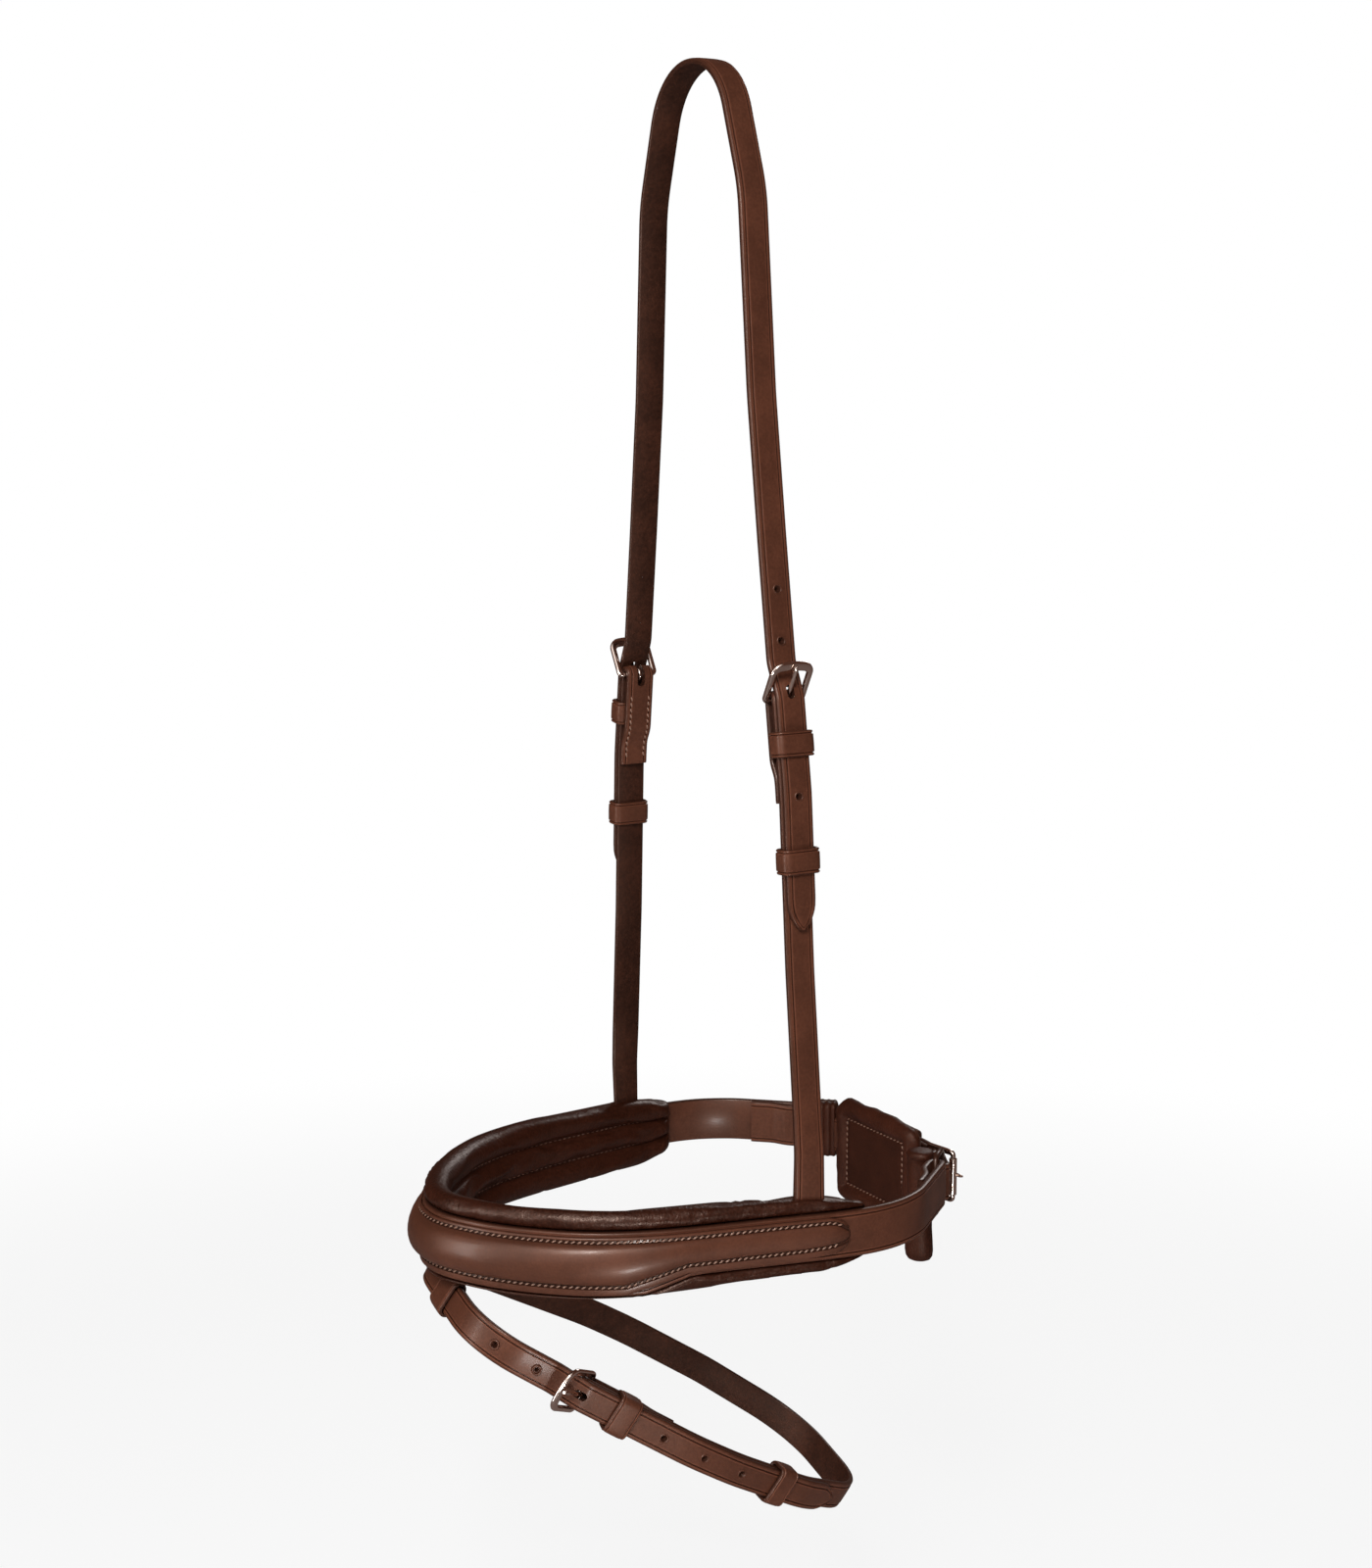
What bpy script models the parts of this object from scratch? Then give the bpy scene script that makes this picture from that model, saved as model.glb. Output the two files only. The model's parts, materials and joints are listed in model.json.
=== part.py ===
"""A padded bridle noseband with a flash strap, hung from a plain head strap that buckles on both cheeks.

The origin is the top of the head strap, at the poll. +Z is up, the nose points to -Y and the horse's near
(left) side is +X. Every strap follows a planar run: a line with a distance along it, an outward side and a
lateral axis.
"""

import math

import bmesh
import bpy
import numpy as np
from mathutils import Matrix

# Straps
STRAP_WIDTH = 0.0125
STRAP_THICK = 0.0025
HOLE_RADIUS = 0.0016
HOLE_PITCH = 0.0200
GAP = 0.0003
FINE_STEP = 0.0005
LONG_STEP = 0.0140
OVERRUN = 0.0010
BLUNT_TIP = 0.0012
TIP_LENGTH = 0.0125
TIP_SHARES = (0, 0.08, 0.22, 0.45, 0.75, 1)
TIP_ROUND = 2.4

# Head strap and cheek straps, in the plane of the legs: across from the middle, height and corner radius
CROWN_HALF = 0.0220
CROWN_RADIUS = 0.0300
CROWN_REACH = 0.0840
CROWN_STEP = 0.0050
HEAD_LEAN_SHARE = 0.013
TEMPLE = (0.0400, -0.0520, 0.0600)
BROW = (0.0460, -0.1300, 0.1500)
UPPER_CHEEK = (0.0530, -0.1850, 0.1000)
MID_CHEEK = (0.0664, -0.2830, 0.0800)
LOWER_CHEEK = (0.0705, -0.3520, 0.2000)
JAW_END = (0.0768, -0.4240, 0.0500)
SEAM_BEND = (0.0764, -0.4430, 0.0300)
SEAM_END = (0.0762, -0.4570)
SEAM_TWIST = 0.20
TWIST_FROM = -0.4100
CHEEK_BAR_HEIGHT = 0.2465
CHEEK_TIP_REACH = 0.0894
POLL_FLAT_HALF = 0.0060
CHEEK_HOLE_REACH = 0.0026
HOLES_BEYOND = 3
HOLES_BEFORE = 2

# Buckle kit, measured from the hinge bar: forward to the tip bar, outward from the strap's line
BAR_RADIUS = 0.0011
FRAME_LENGTH = 0.0150
FRAME_TILT = math.radians(38)
ROLLER_TILT = math.radians(19)
FRAME_SIDE_HALF = 0.00825
SIDE_BAR_HALF = 0.00125
FRAME_THICK_HALF = 0.0010
TIP_BAR_HALF = 0.00175
TIP_BAR_BOW = 0.0008
HINGE_CORNER = 0.0014
TIP_CORNER = 0.0030
TONGUE_RADIUS = 0.00085
TONGUE_COIL = 0.00225
TONGUE_REACH = 0.0172
TONGUE_SHARES = (0.30, 0.60, 0.88, 1)
TONGUE_POINT_SHARE = 0.55
SLOT_FROM = -0.0004
SLOT_TO = 0.0053
SLOT_HALF = 0.00165
CHIN_SLOT_FROM = 0.0007
CHIN_SLOT_TO = 0.0099
CREW_REACH = 0.0046
CREW_HALF = 0.0017
CREW_DEEP = 0.0048
BILLET_TURN = math.radians(72)
BILLET_MEETS = (0.0145, 0.0010)
BILLET_LINE = 0.0010
TURN_BACK = 0.0400
TURN_BACK_MEETS = 0.0300
TURN_BACK_LEAVES = 0.0240
KEEPER_THICK = 0.0018
KEEPER_HALF = 0.0050
FIXED_KEEPER_AT = 0.0173
CHEEK_SLIDER_TO_TIP = 0.0270
CHEEK_SLIDER_AT = CHEEK_TIP_REACH - CHEEK_SLIDER_TO_TIP
KEEPER_CORNER = 0.0006

# Noseband ring in plan: outer face of the near half, from the nose to the rear
RING_PLAN = (
    (0.0000, -0.1226), (0.0080, -0.1218), (0.0170, -0.1183), (0.0300, -0.1105), (0.0420, -0.1003),
    (0.0540, -0.0870), (0.0620, -0.0740), (0.0685, -0.0580), (0.0730, -0.0410), (0.0765, -0.0230),
    (0.0810, -0.0010), (0.0842, 0.0150), (0.0858, 0.0310), (0.0838, 0.0460), (0.0775, 0.0600),
    (0.0695, 0.0700), (0.0630, 0.0775), (0.0560, 0.0855), (0.0500, 0.0925),
)
BASE_TOP = -0.4480
BASE_HEIGHT = 0.0190
BASE_NOSE_HEIGHT = 0.0255
BASE_THICK = 0.0030
BASE_STEP_FROM = 0.0950
BASE_STEP_TO = 0.1150
BASE_STEP = 0.0095
BASE_FOLD_OPENS_SHARE = 1 / 3
BASE_FOLD_MEETS_SHARE = 0.6
BASE_TURN_BACK = 0.0260

# Nose pad and raised cover, along the ring from the nose
END_SHARES = (1, 0.988, 0.97, 0.935)
MIDDLE_SHARE = 0.89
MIDDLE_STEPS = 17
PAD_REACH = 0.1880
PAD_TOPS = ((0.0000, -0.4418), (0.0600, -0.4408), (0.1200, -0.4412), (0.1600, -0.4420), (0.1880, -0.4445))
PAD_BOTTOMS = (
    (0.0000, -0.4762), (0.0200, -0.4756), (0.0450, -0.4764), (0.0900, -0.4730),
    (0.1350, -0.4718), (0.1700, -0.4716), (0.1880, -0.4700),
)
PAD_DEEP = 0.0082
PAD_END_SHARE = 0.45
PAD_SHARES = (
    (0.00, 0.20), (0.01, 0.55), (0.07, 0.88), (0.16, 1.00), (0.26, 0.88), (0.32, 0.62), (0.38, 0.86),
    (0.50, 0.98), (0.62, 0.86), (0.68, 0.62), (0.74, 0.88), (0.84, 1.00), (0.93, 0.88), (0.99, 0.55),
    (1.00, 0.20),
)
COVER_REACH = 0.1790
COVER_TOP = -0.4495
COVER_BOTTOMS = (
    (0.0000, -0.4725), (0.0880, -0.4725), (0.1120, -0.4655), (0.1600, -0.4650), (0.1790, -0.4640),
)
COVER_POINT_SHARE = 0.12
COVER_SHARES = (
    (0.97, 0.28), (0.80, 0.62), (0.50, 0.90), (0.00, 1.00), (-0.50, 0.90), (-0.80, 0.62), (-0.97, 0.28),
)
COVER_RISES = ((0.0000, 0.0060), (0.0550, 0.0052), (0.0950, 0.0040), (0.1200, 0.0026), (0.1790, 0.0020))
POCKET_HALF = 0.0071
POCKET_DEEP = 0.0038

# End squares and jaw strap, in plan
SQUARE_WIRE = 0.0012
NEAR_INNER_BAR = (0.0395, 0.0967)
OFF_INNER_BAR = (-0.0425, 0.0960)
OFF_END_SHORTER = 0.0025
SQUARE_HALF = 0.0122
SQUARE_DROP = 0.0012
JAW_HEIGHT = -0.4605
JAW_WIDTH = 0.0160
JAW_FAR = (-0.0600, 0.0930)
JAW_MIDDLE = (0.0035, 0.1055, 0.0700)
JAW_NEAR = (0.0600, 0.0955)
JAW_BAR_ACROSS = 0.0220
JAW_TIP_REACH = 0.0660
JAW_FIXED_AT = 0.0375
JAW_SLIDER_AT = 0.0530
JAW_KEEPER_HALF = 0.0040
JAW_TURN_BACK = 0.0300
JAW_INNER = 0.00545
JAW_INNER_CLOSE = 0.00285
JAW_CLOSES_AT = 0.0420
JAW_CLOSING = 0.0080
JAW_STEP = 0.0060
JAW_SIDE_HALF = 0.0104
CHIN_TONGUE_RISE = 0.0032
CHIN_TONGUE_PAST = 0.0026
ROLLER_RADIUS = 0.0017
ROLLER_BORE = 0.0012
ROLLER_HALF = 0.0082
CHIN_PAD_HALF = 0.0305
CHIN_PAD_SEAT = 0.0185
CHIN_PAD_INNER = JAW_MIDDLE[1] - CHIN_PAD_SEAT
CHIN_PAD_TOP = -0.4390
CHIN_PAD_BOTTOM = -0.4865
CHIN_PAD_DEEP = 0.0070
CHIN_END_SHARE = 0.93
CHIN_PAD_SHARES = (
    (-1, 0.35, 0), (-0.985, 0.60, 0), (-0.93, 0.84, 0), (-0.80, 1, 0), (-0.70, 1, 1), (-0.66, 1, 1),
    (-0.30, 1, 1), (0, 1, 1), (0.30, 1, 1), (0.66, 1, 1), (0.70, 1, 1), (0.80, 1, 0), (0.93, 0.84, 0),
    (0.985, 0.60, 0), (1, 0.35, 0),
)
CHIN_BORDER_SHARES = ((-1, 0.50), (-0.97, 0.18), (-0.88, 0), (-0.76, 0.06))
CHIN_PANEL_SHARES = ((-0.70, 0.30), (-0.64, 0.20), (0, 0.12))
CHIN_BACK_SHARES = ((0.97, 0.82), (0.88, 1), (0, 1), (-0.88, 1), (-0.97, 0.82))
CHIN_CUFF_SHARES = ((1, 0.6), (0.97, 0.9), (0.85, 1), (0, 1), (-0.85, 1), (-0.97, 0.9), (-1, 0.6))
CHIN_CUFF_WIDE = 0.0100
CHIN_CUFF_DROP = 0.0066
CHIN_CUFF_INWARD = 0.0019
CHIN_LOOP_AT = 0.0260
CHIN_LOOP_HALF = 0.0060
CHIN_LOOP_ROOM = 0.0006

# Flash strap: a hoop that droops from the nose, near side low
FLASH_NOSE = (0.0, -0.1158, -0.4844)
FLASH_DROOP = math.radians(31.7)
FLASH_ROLL = math.radians(9.9)
FLASH_INSET = 0.0035
FLASH_CORNERS = (
    (0.0368, 0.0000, 0.0280), (0.0457, 0.0319, 0.0600), (0.0584, 0.1013, 0.0900),
    (0.0584, 0.1245, 0.0900), (0.0512, 0.1662, 0.0500), (0.0308, 0.2127, 0.0340),
)
FLASH_BAR_ALONG = 0.0495
FLASH_SLIDER_AT = 0.1010
FLASH_TIP_REACH = 0.1395
FLASH_HINGE = (0.0, -0.1138, -0.4768)
FLASH_STEP = 0.0075
FLASH_CORNER_STEP = 0.0050
FLASH_HOLES = (-2, -1, 1, 2, 3, 4)
FLASH_LOOP_HALF = 0.0065
FLASH_LOOP_THICK = 0.0015

LEATHER = (0.085, 0.038, 0.026)
LINING = (0.030, 0.010, 0.006)
METAL = (0.75, 0.74, 0.72)


def start_empty():
    """Clear the scene and return the collections for the parts and for the hidden cutters."""
    for obj in list(bpy.data.objects):
        bpy.data.objects.remove(obj, do_unlink=True)
    parts = bpy.data.collections.new("bridle_noseband")
    cutters = bpy.data.collections.new("cutters")
    for collection in (parts, cutters):
        bpy.context.scene.collection.children.link(collection)
    cutters.hide_render = True
    return parts, cutters


def finish(name, data, colour, metallic=0.0, roughness=0.5, smooth=True):
    """Make the object in the parts collection, with its own material."""
    obj = bpy.data.objects.new(name, data)
    PARTS.objects.link(obj)
    material = bpy.data.materials.new(name)
    material.use_nodes = True
    shader = material.node_tree.nodes["Principled BSDF"]
    shader.inputs["Base Color"].default_value = (*colour, 1.0)
    shader.inputs["Metallic"].default_value = metallic
    shader.inputs["Roughness"].default_value = roughness
    data.materials.append(material)
    if smooth and hasattr(data, "shade_smooth"):
        data.shade_smooth()
        data.set_sharp_from_angle(angle=math.radians(35))
    return obj


def mesh_of(bm, name):
    """Close a bmesh into a mesh with its faces outward."""
    bmesh.ops.recalc_face_normals(bm, faces=bm.faces)
    mesh = bpy.data.meshes.new(name)
    bm.to_mesh(mesh)
    bm.free()
    return mesh


def grid_of(points, name, wrap_rows=False, wrap_columns=False, capped=False):
    """Lay a grid primitive over rows of points, weld the wrapped edges and fill open ends."""
    points = np.asarray(points)
    if wrap_rows:
        points = np.concatenate([points, points[:1]])
    if wrap_columns:
        points = np.concatenate([points, points[:, :1]], axis=1)
    rows, columns = points.shape[:2]
    bm = bmesh.new()
    bmesh.ops.create_grid(bm, x_segments=rows - 1, y_segments=columns - 1, size=0.5)
    for vert in bm.verts:
        row = round((vert.co.x + 0.5) * (rows - 1))
        column = round((vert.co.y + 0.5) * (columns - 1))
        vert.co = points[row, column]
    if wrap_rows or wrap_columns:
        bmesh.ops.remove_doubles(bm, verts=bm.verts, dist=GAP / 100)
    if capped:
        bmesh.ops.holes_fill(bm, edges=bm.edges, sides=0)
    return mesh_of(bm, name)


def filleted(corners):
    """Points along a polygon whose inner corners are rounded. Corners are (a, b, radius), ends (a, b)."""
    spots = [np.array(corner[:2]) for corner in corners]
    line = [spots[0]]
    for before, here, after, corner in zip(spots, spots[1:], spots[2:], corners[1:]):
        into = (here - before) / np.linalg.norm(here - before)
        out = (after - here) / np.linalg.norm(after - here)
        turn = math.atan2(into[0] * out[1] - into[1] * out[0], into @ out)
        radius = corner[2]
        reach = radius * math.tan(abs(turn) / 2)
        side = math.copysign(1, turn) * np.array([-into[1], into[0]])
        centre = here - into * reach + side * radius
        for share in np.linspace(0, 1, max(2, math.ceil(radius * abs(turn) / FINE_STEP))):
            angle = share * abs(turn)
            line.append(centre - side * radius * math.cos(angle) + into * radius * math.sin(angle))
    line.append(spots[-1])
    return np.array(line)


def smoothed(points):
    """A Catmull-Rom line through the points."""
    points = np.asarray(points)
    ends = np.concatenate([[2 * points[0] - points[1]], points, [2 * points[-1] - points[-2]]])
    line = []
    for p0, p1, p2, p3 in zip(ends, ends[1:], ends[2:], ends[3:]):
        for t in np.arange(0, 1, 0.05):
            line.append(
                (2 * p1 + (p2 - p0) * t + (2 * p0 - 5 * p1 + 4 * p2 - p3) * t**2
                 + (3 * p1 - p0 - 3 * p2 + p3) * t**3) / 2
            )
    line.append(points[-1])
    return np.array(line)


class Run:
    """A planar line: distance along it, outward offset from it and a lateral axis across it."""

    def __init__(self, plane, line, inset=0.0):
        steps = np.linalg.norm(np.diff(line, axis=0), axis=1)
        along = np.concatenate([[0], np.cumsum(steps)])
        self.length = along[-1]
        count = math.ceil(self.length / FINE_STEP)
        self.along = np.linspace(0, self.length, count)
        self.line = np.stack([np.interp(self.along, along, line[:, i]) for i in (0, 1)], axis=1)
        self.tangents = np.gradient(self.line, self.along, axis=0)
        self.plane = plane
        self.inset = inset

    def flat(self, s, n):
        """The point of the run's plane at distance s, n outward of the line."""
        inside = min(max(s, 0), self.length)
        point = np.array([np.interp(inside, self.along, self.line[:, i]) for i in (0, 1)])
        tangent = np.array([np.interp(inside, self.along, self.tangents[:, i]) for i in (0, 1)])
        tangent /= np.linalg.norm(tangent)
        outward = np.array([tangent[1], -tangent[0]])
        return point + tangent * (s - inside) + outward * (n - self.inset), tangent, outward

    def lift(self, flat, lateral):
        """The world point of a point of the plane, moved along the lateral axis."""
        return self.plane[:3, :3] @ np.array([flat[0], flat[1], lateral]) + self.plane[:3, 3]

    def point(self, s, n, lateral=0.0):
        return self.lift(self.flat(s, n)[0], lateral)

    def matrix(self, s, n, sense=1):
        """A frame at the place: x along the run in the given sense, z outward, y across."""
        _, tangent, outward = self.flat(s, n)
        x = self.plane[:3, :3] @ np.array([*tangent * sense, 0])
        z = self.plane[:3, :3] @ np.array([*outward, 0])
        frame = np.eye(4)
        frame[:3, 0], frame[:3, 1], frame[:3, 2] = x, np.cross(z, x), z
        frame[:3, 3] = self.point(s, n)
        return frame

    def distance_at(self, column, value, start=0.0):
        """The first distance past the start where the line crosses a value of one coordinate."""
        past = self.along >= start
        offsets = self.line[past][:, column] - value
        crossing = np.nonzero(np.diff(np.sign(offsets)))[0][0]
        return self.along[past][crossing]


def plane_of(origin, across, along):
    """A plane's frame: its two axes, the lateral axis square to both, and its origin."""
    plane = np.eye(4)
    plane[:3, 0] = across
    plane[:3, 1] = along
    plane[:3, 2] = np.cross(across, along)
    plane[:3, 3] = origin
    return plane


def strap(name, run, spots, width, thick=STRAP_THICK, colour=LEATHER, spans=None, twists=None):
    """A flat strap along (distance, offset) spots, widened across the run, then given its thickness.

    spans holds the lateral extent at each spot, where it isn't the whole width about the middle. twists
    holds how far the strap turns outward across its width.
    """
    rows = []
    for i, (s, n) in enumerate(spots):
        low, high = (-width / 2, width / 2) if spans is None else spans[i]
        twist = 0 if twists is None else twists[i]
        rows.append([run.point(s, n + twist * low, low), run.point(s, n + twist * high, high)])
    obj = finish(name, grid_of(rows, name), colour)
    shell = obj.modifiers.new("thickness", "SOLIDIFY")
    shell.thickness = thick
    shell.offset = 0
    shell.use_even_offset = True
    return obj


def spread(start, end, longest=LONG_STEP):
    """Evenly spaced values from start to end, both counted, no further apart than the longest step."""
    return list(np.linspace(start, end, max(2, math.ceil(abs(end - start) / longest) + 1)))


def tip_spans(reaches, end, width):
    """Lateral extents that narrow to a rounded point over the last stretch before the end."""
    spans = []
    for reach in reaches:
        share = min(max((TIP_LENGTH - (end - reach)) / TIP_LENGTH, 0), 1)
        half = BLUNT_TIP + (width / 2 - BLUNT_TIP) * (1 - share**TIP_ROUND)
        spans.append((-half, half))
    return spans


def cutter(name, target, frames):
    """Cut rounded slots from the target. Frames are (matrix, half length, half width, half depth)."""
    bm = bmesh.new()
    for frame, half_length, half_width, half_depth in frames:
        made = bmesh.ops.create_cone(
            bm, cap_ends=True, segments=12, radius1=half_width, radius2=half_width, depth=2 * half_depth
        )
        for vert in made["verts"]:
            if abs(vert.co.x) > GAP / 100:
                vert.co.x += math.copysign(half_length - half_width, vert.co.x)
        bmesh.ops.transform(bm, matrix=Matrix(frame), verts=made["verts"])
    obj = bpy.data.objects.new(name, mesh_of(bm, name))
    CUTTERS.objects.link(obj)
    obj.display_type = "WIRE"
    obj.hide_render = True
    cut = target.modifiers.new(name, "BOOLEAN")
    cut.operation = "DIFFERENCE"
    cut.solver = "EXACT"
    cut.object = obj
    return obj


def band(name, frame, low, high, half_width, half_length, thick=KEEPER_THICK, colour=LEATHER):
    """A keeper: a rounded rectangular band round the layers from low to high, open along the strap."""
    curve = bpy.data.curves.new(name, "CURVE")
    curve.dimensions = "2D"
    curve.fill_mode = "BOTH"
    curve.extrude = half_length
    for grow in (thick, 0.0):
        radius = KEEPER_CORNER + grow
        across, bottom, top = half_width + grow, low - grow, high + grow
        spots = []
        for x, y, start in (
            (across - radius, top - radius, 0), (radius - across, top - radius, 90),
            (radius - across, bottom + radius, 180), (across - radius, bottom + radius, 270),
        ):
            for angle in (0, 45, 90) if grow else (0, 90):
                turn = math.radians(start + angle)
                spots.append((x + radius * math.cos(turn), y + radius * math.sin(turn)))
        spline = curve.splines.new("POLY")
        spline.points.add(len(spots) - 1)
        for point, (x, y) in zip(spline.points, spots):
            point.co = (x, y, 0, 1)
        spline.use_cyclic_u = True
    obj = finish(name, curve, colour)
    turned = np.eye(4)
    turned[:3, 0], turned[:3, 1], turned[:3, 2] = frame[:3, 1], frame[:3, 2], frame[:3, 0]
    turned[:3, 3] = frame[:3, 3]
    obj.matrix_world = Matrix(turned)
    return obj


def frame_turned(frame, angle):
    """The kit's frame turned about its hinge bar, so that its tip bar rises outward."""
    return frame @ np.array(Matrix.Rotation(-angle, 4, "Y"))


def buckle_frame(name, frame, tilt, side_half=FRAME_SIDE_HALF, round_tip=False):
    """A closed loop of bar: round at the hinge, flat along the sides and at the tip."""
    length = FRAME_LENGTH
    hinge, tip = HINGE_CORNER, HINGE_CORNER if round_tip else TIP_CORNER
    bow = 0 if round_tip else TIP_BAR_BOW
    wire = (BAR_RADIUS, BAR_RADIUS)
    side = (SIDE_BAR_HALF, FRAME_THICK_HALF)
    end = (FRAME_THICK_HALF, FRAME_THICK_HALF) if round_tip else (TIP_BAR_HALF, FRAME_THICK_HALF)
    half_loop = [((0, 0), (0, 1), wire), ((0, side_half - hinge), (0, 1), wire)]
    for degrees in (30, 60, 90):
        turn = math.radians(degrees)
        centre = (hinge, side_half - hinge)
        size = wire if degrees < 60 else side
        spot = (centre[0] - hinge * math.cos(turn), centre[1] + hinge * math.sin(turn))
        half_loop.append((spot, (math.sin(turn), math.cos(turn)), size))
    for degrees in (0, 30, 60, 90):
        turn = math.radians(degrees)
        centre = (length - tip, side_half - tip)
        size = side if degrees < 60 else end
        spot = (centre[0] + tip * math.sin(turn), centre[1] + tip * math.cos(turn))
        half_loop.append((spot, (math.cos(turn), -math.sin(turn)), size))
    half_loop.append(((length + bow, 0), (0, -1), end))
    loop = half_loop + [((x, -y), (-tx, ty), size) for (x, y), (tx, ty), size in half_loop[-2:0:-1]]
    rings = []
    for (x, y), (tx, ty), (wide, thick) in loop:
        ring = []
        for step in range(8):
            turn = 2 * math.pi * (step + 0.5) / 8
            out, up = wide * math.cos(turn), thick * math.sin(turn)
            if wide != thick or size is end:
                out, up = out / math.cos(math.pi / 8), up / math.cos(math.pi / 8)
            ring.append((x + ty * out, y - tx * out, up))
        rings.append(ring)
    mesh = grid_of(rings, name, wrap_rows=True, wrap_columns=True)
    obj = finish(name, mesh, METAL, 1.0, 0.2)
    obj.matrix_world = Matrix(frame_turned(frame, tilt))
    return obj


def tongue(name, frame, reach=TONGUE_REACH, rise=TONGUE_COIL):
    """A wire hooked round the hinge bar, whose point rests on the tip bar."""
    spots = []
    for degrees in range(-150, 91, 30):
        turn = math.radians(degrees)
        spots.append((-TONGUE_COIL * math.cos(turn), TONGUE_COIL * math.sin(turn)))
    for share in TONGUE_SHARES:
        spots.append((reach * share, TONGUE_COIL + (rise - TONGUE_COIL) * share))
    curve = bpy.data.curves.new(name, "CURVE")
    curve.dimensions = "3D"
    curve.bevel_depth = TONGUE_RADIUS
    curve.bevel_resolution = 2
    curve.use_fill_caps = True
    spline = curve.splines.new("POLY")
    spline.points.add(len(spots) - 1)
    for i, (point, (x, z)) in enumerate(zip(spline.points, spots)):
        point.co = (x, 0, z, 1)
        point.radius = TONGUE_POINT_SHARE if i == len(spots) - 1 else 1
    obj = finish(name, curve, METAL, 1.0, 0.2)
    obj.matrix_world = Matrix(frame)
    return obj


def chape_spots(bar, sense, turn_back):
    """The strap folded round the hinge bar: from the turn-back's end, round the bar, onto the main layer."""
    level = BAR_RADIUS + GAP + STRAP_THICK / 2
    close = level - STRAP_THICK - GAP
    spots = [(bar - sense * turn_back, close)]
    if turn_back > TURN_BACK_MEETS:
        spots.append((bar - sense * TURN_BACK_MEETS, close))
    spots += [(bar - sense * TURN_BACK_LEAVES, -level), (bar - sense * CREW_REACH, -level), (bar, -level)]
    for degrees in range(-68, 90, 22):
        turn = math.radians(degrees)
        spots.append((bar + sense * level * math.cos(turn), level * math.sin(turn)))
    spots += [(bar, level), (bar - sense * CREW_REACH, level)]
    return spots


def billet_turn_spots(bar, sense):
    """The billet bending over the fold and down to where it passes under the tip bar."""
    _, level = kit_levels()
    spots = []
    for turn in np.linspace(math.pi / 2, BILLET_TURN, 3):
        spots.append((bar + sense * level * math.cos(turn), level * math.sin(turn)))
    reach, rise = BILLET_MEETS
    spots.append((bar + sense * reach, rise))
    return spots, level


def crew_cut(name, target, frame):
    """The opening through the fold that the tongue swings in."""
    cutter(name, target, [(frame, CREW_REACH, CREW_HALF, CREW_DEEP)])


def tilted_slot(frame, start=SLOT_FROM, end=SLOT_TO):
    """The tongue's slot through the sloping stretch of the billet, square to it."""
    middle = (start + end) / 2
    slope = math.pi / 2 - BILLET_TURN
    _, level = kit_levels()
    rise = level * math.cos(slope) - (middle - level * math.sin(slope)) * math.tan(slope)
    moved = frame @ np.array(Matrix.Translation((middle, 0, rise)))
    moved = moved @ np.array(Matrix.Rotation(slope, 4, "Y"))
    return moved, (end - start) / 2, SLOT_HALF, STRAP_THICK


def layer_limits(low_layer, high_layer):
    """The inner faces of a band round the layers whose centre lines are given."""
    return low_layer - STRAP_THICK / 2 - GAP, high_layer + STRAP_THICK / 2 + GAP


def kit_levels():
    main = BAR_RADIUS + GAP + STRAP_THICK / 2
    return main, main + STRAP_THICK + GAP


def head_run():
    """The head strap's line, from the near cheek's lower end over the poll to the far cheek's lower end."""
    lean = np.array([0, -HEAD_LEAN_SHARE, 1]) / math.hypot(1, HEAD_LEAN_SHARE)
    corners = [SEAM_END, SEAM_BEND, JAW_END, LOWER_CHEEK, MID_CHEEK, UPPER_CHEEK, BROW, TEMPLE]
    corners.append((CROWN_HALF, 0.0, CROWN_RADIUS))
    far = [(-corner[0], *corner[1:]) for corner in reversed(corners)]
    return Run(plane_of((0, 0, 0), (1, 0, 0), lean), filleted(corners + far), BILLET_LINE)


def build_head(run):
    """The head strap, with a billet and five holes at each end."""
    middle = run.length / 2
    bar = run.distance_at(1, -CHEEK_BAR_HEIGHT)
    turn, level = billet_turn_spots(bar, 1)
    tip = bar - CHEEK_TIP_REACH
    reaches = [tip + TIP_LENGTH * share for share in TIP_SHARES]
    reaches += spread(tip + TIP_LENGTH, bar - CREW_REACH, LONG_STEP / 2)[1:]
    near = [(s, level) for s in reaches] + turn
    crown = middle - CROWN_REACH
    near += [(s, BILLET_LINE) for s in spread(bar + BILLET_MEETS[0] + LONG_STEP, crown)]
    near += [(s, BILLET_LINE) for s in spread(crown, middle - POLL_FLAT_HALF, CROWN_STEP)[1:]]
    far = [(run.length - s, n) for s, n in reversed(near)]
    spots = near + far
    spans = tip_spans([-s for s, _ in spots], -tip, STRAP_WIDTH)
    spans = [min(a, b, key=lambda span: span[1]) for a, b in zip(spans, reversed(spans))]
    headstrap = strap("headstrap", run, spots, STRAP_WIDTH, spans=spans)
    frames = []
    for sense, place in ((1, bar), (-1, run.length - bar)):
        for step in range(-HOLES_BEFORE, HOLES_BEYOND):
            if step == 0:
                continue
            reach = CHEEK_HOLE_REACH - step * HOLE_PITCH
            n = level if step > 0 else BILLET_LINE
            hole = run.matrix(place + sense * reach, n, sense)
            frames.append((hole, HOLE_RADIUS, HOLE_RADIUS, STRAP_THICK))
        frames.append(tilted_slot(run.matrix(place, 0, sense)))
    cutter("headstrap_holes", headstrap, frames)
    return bar


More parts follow.
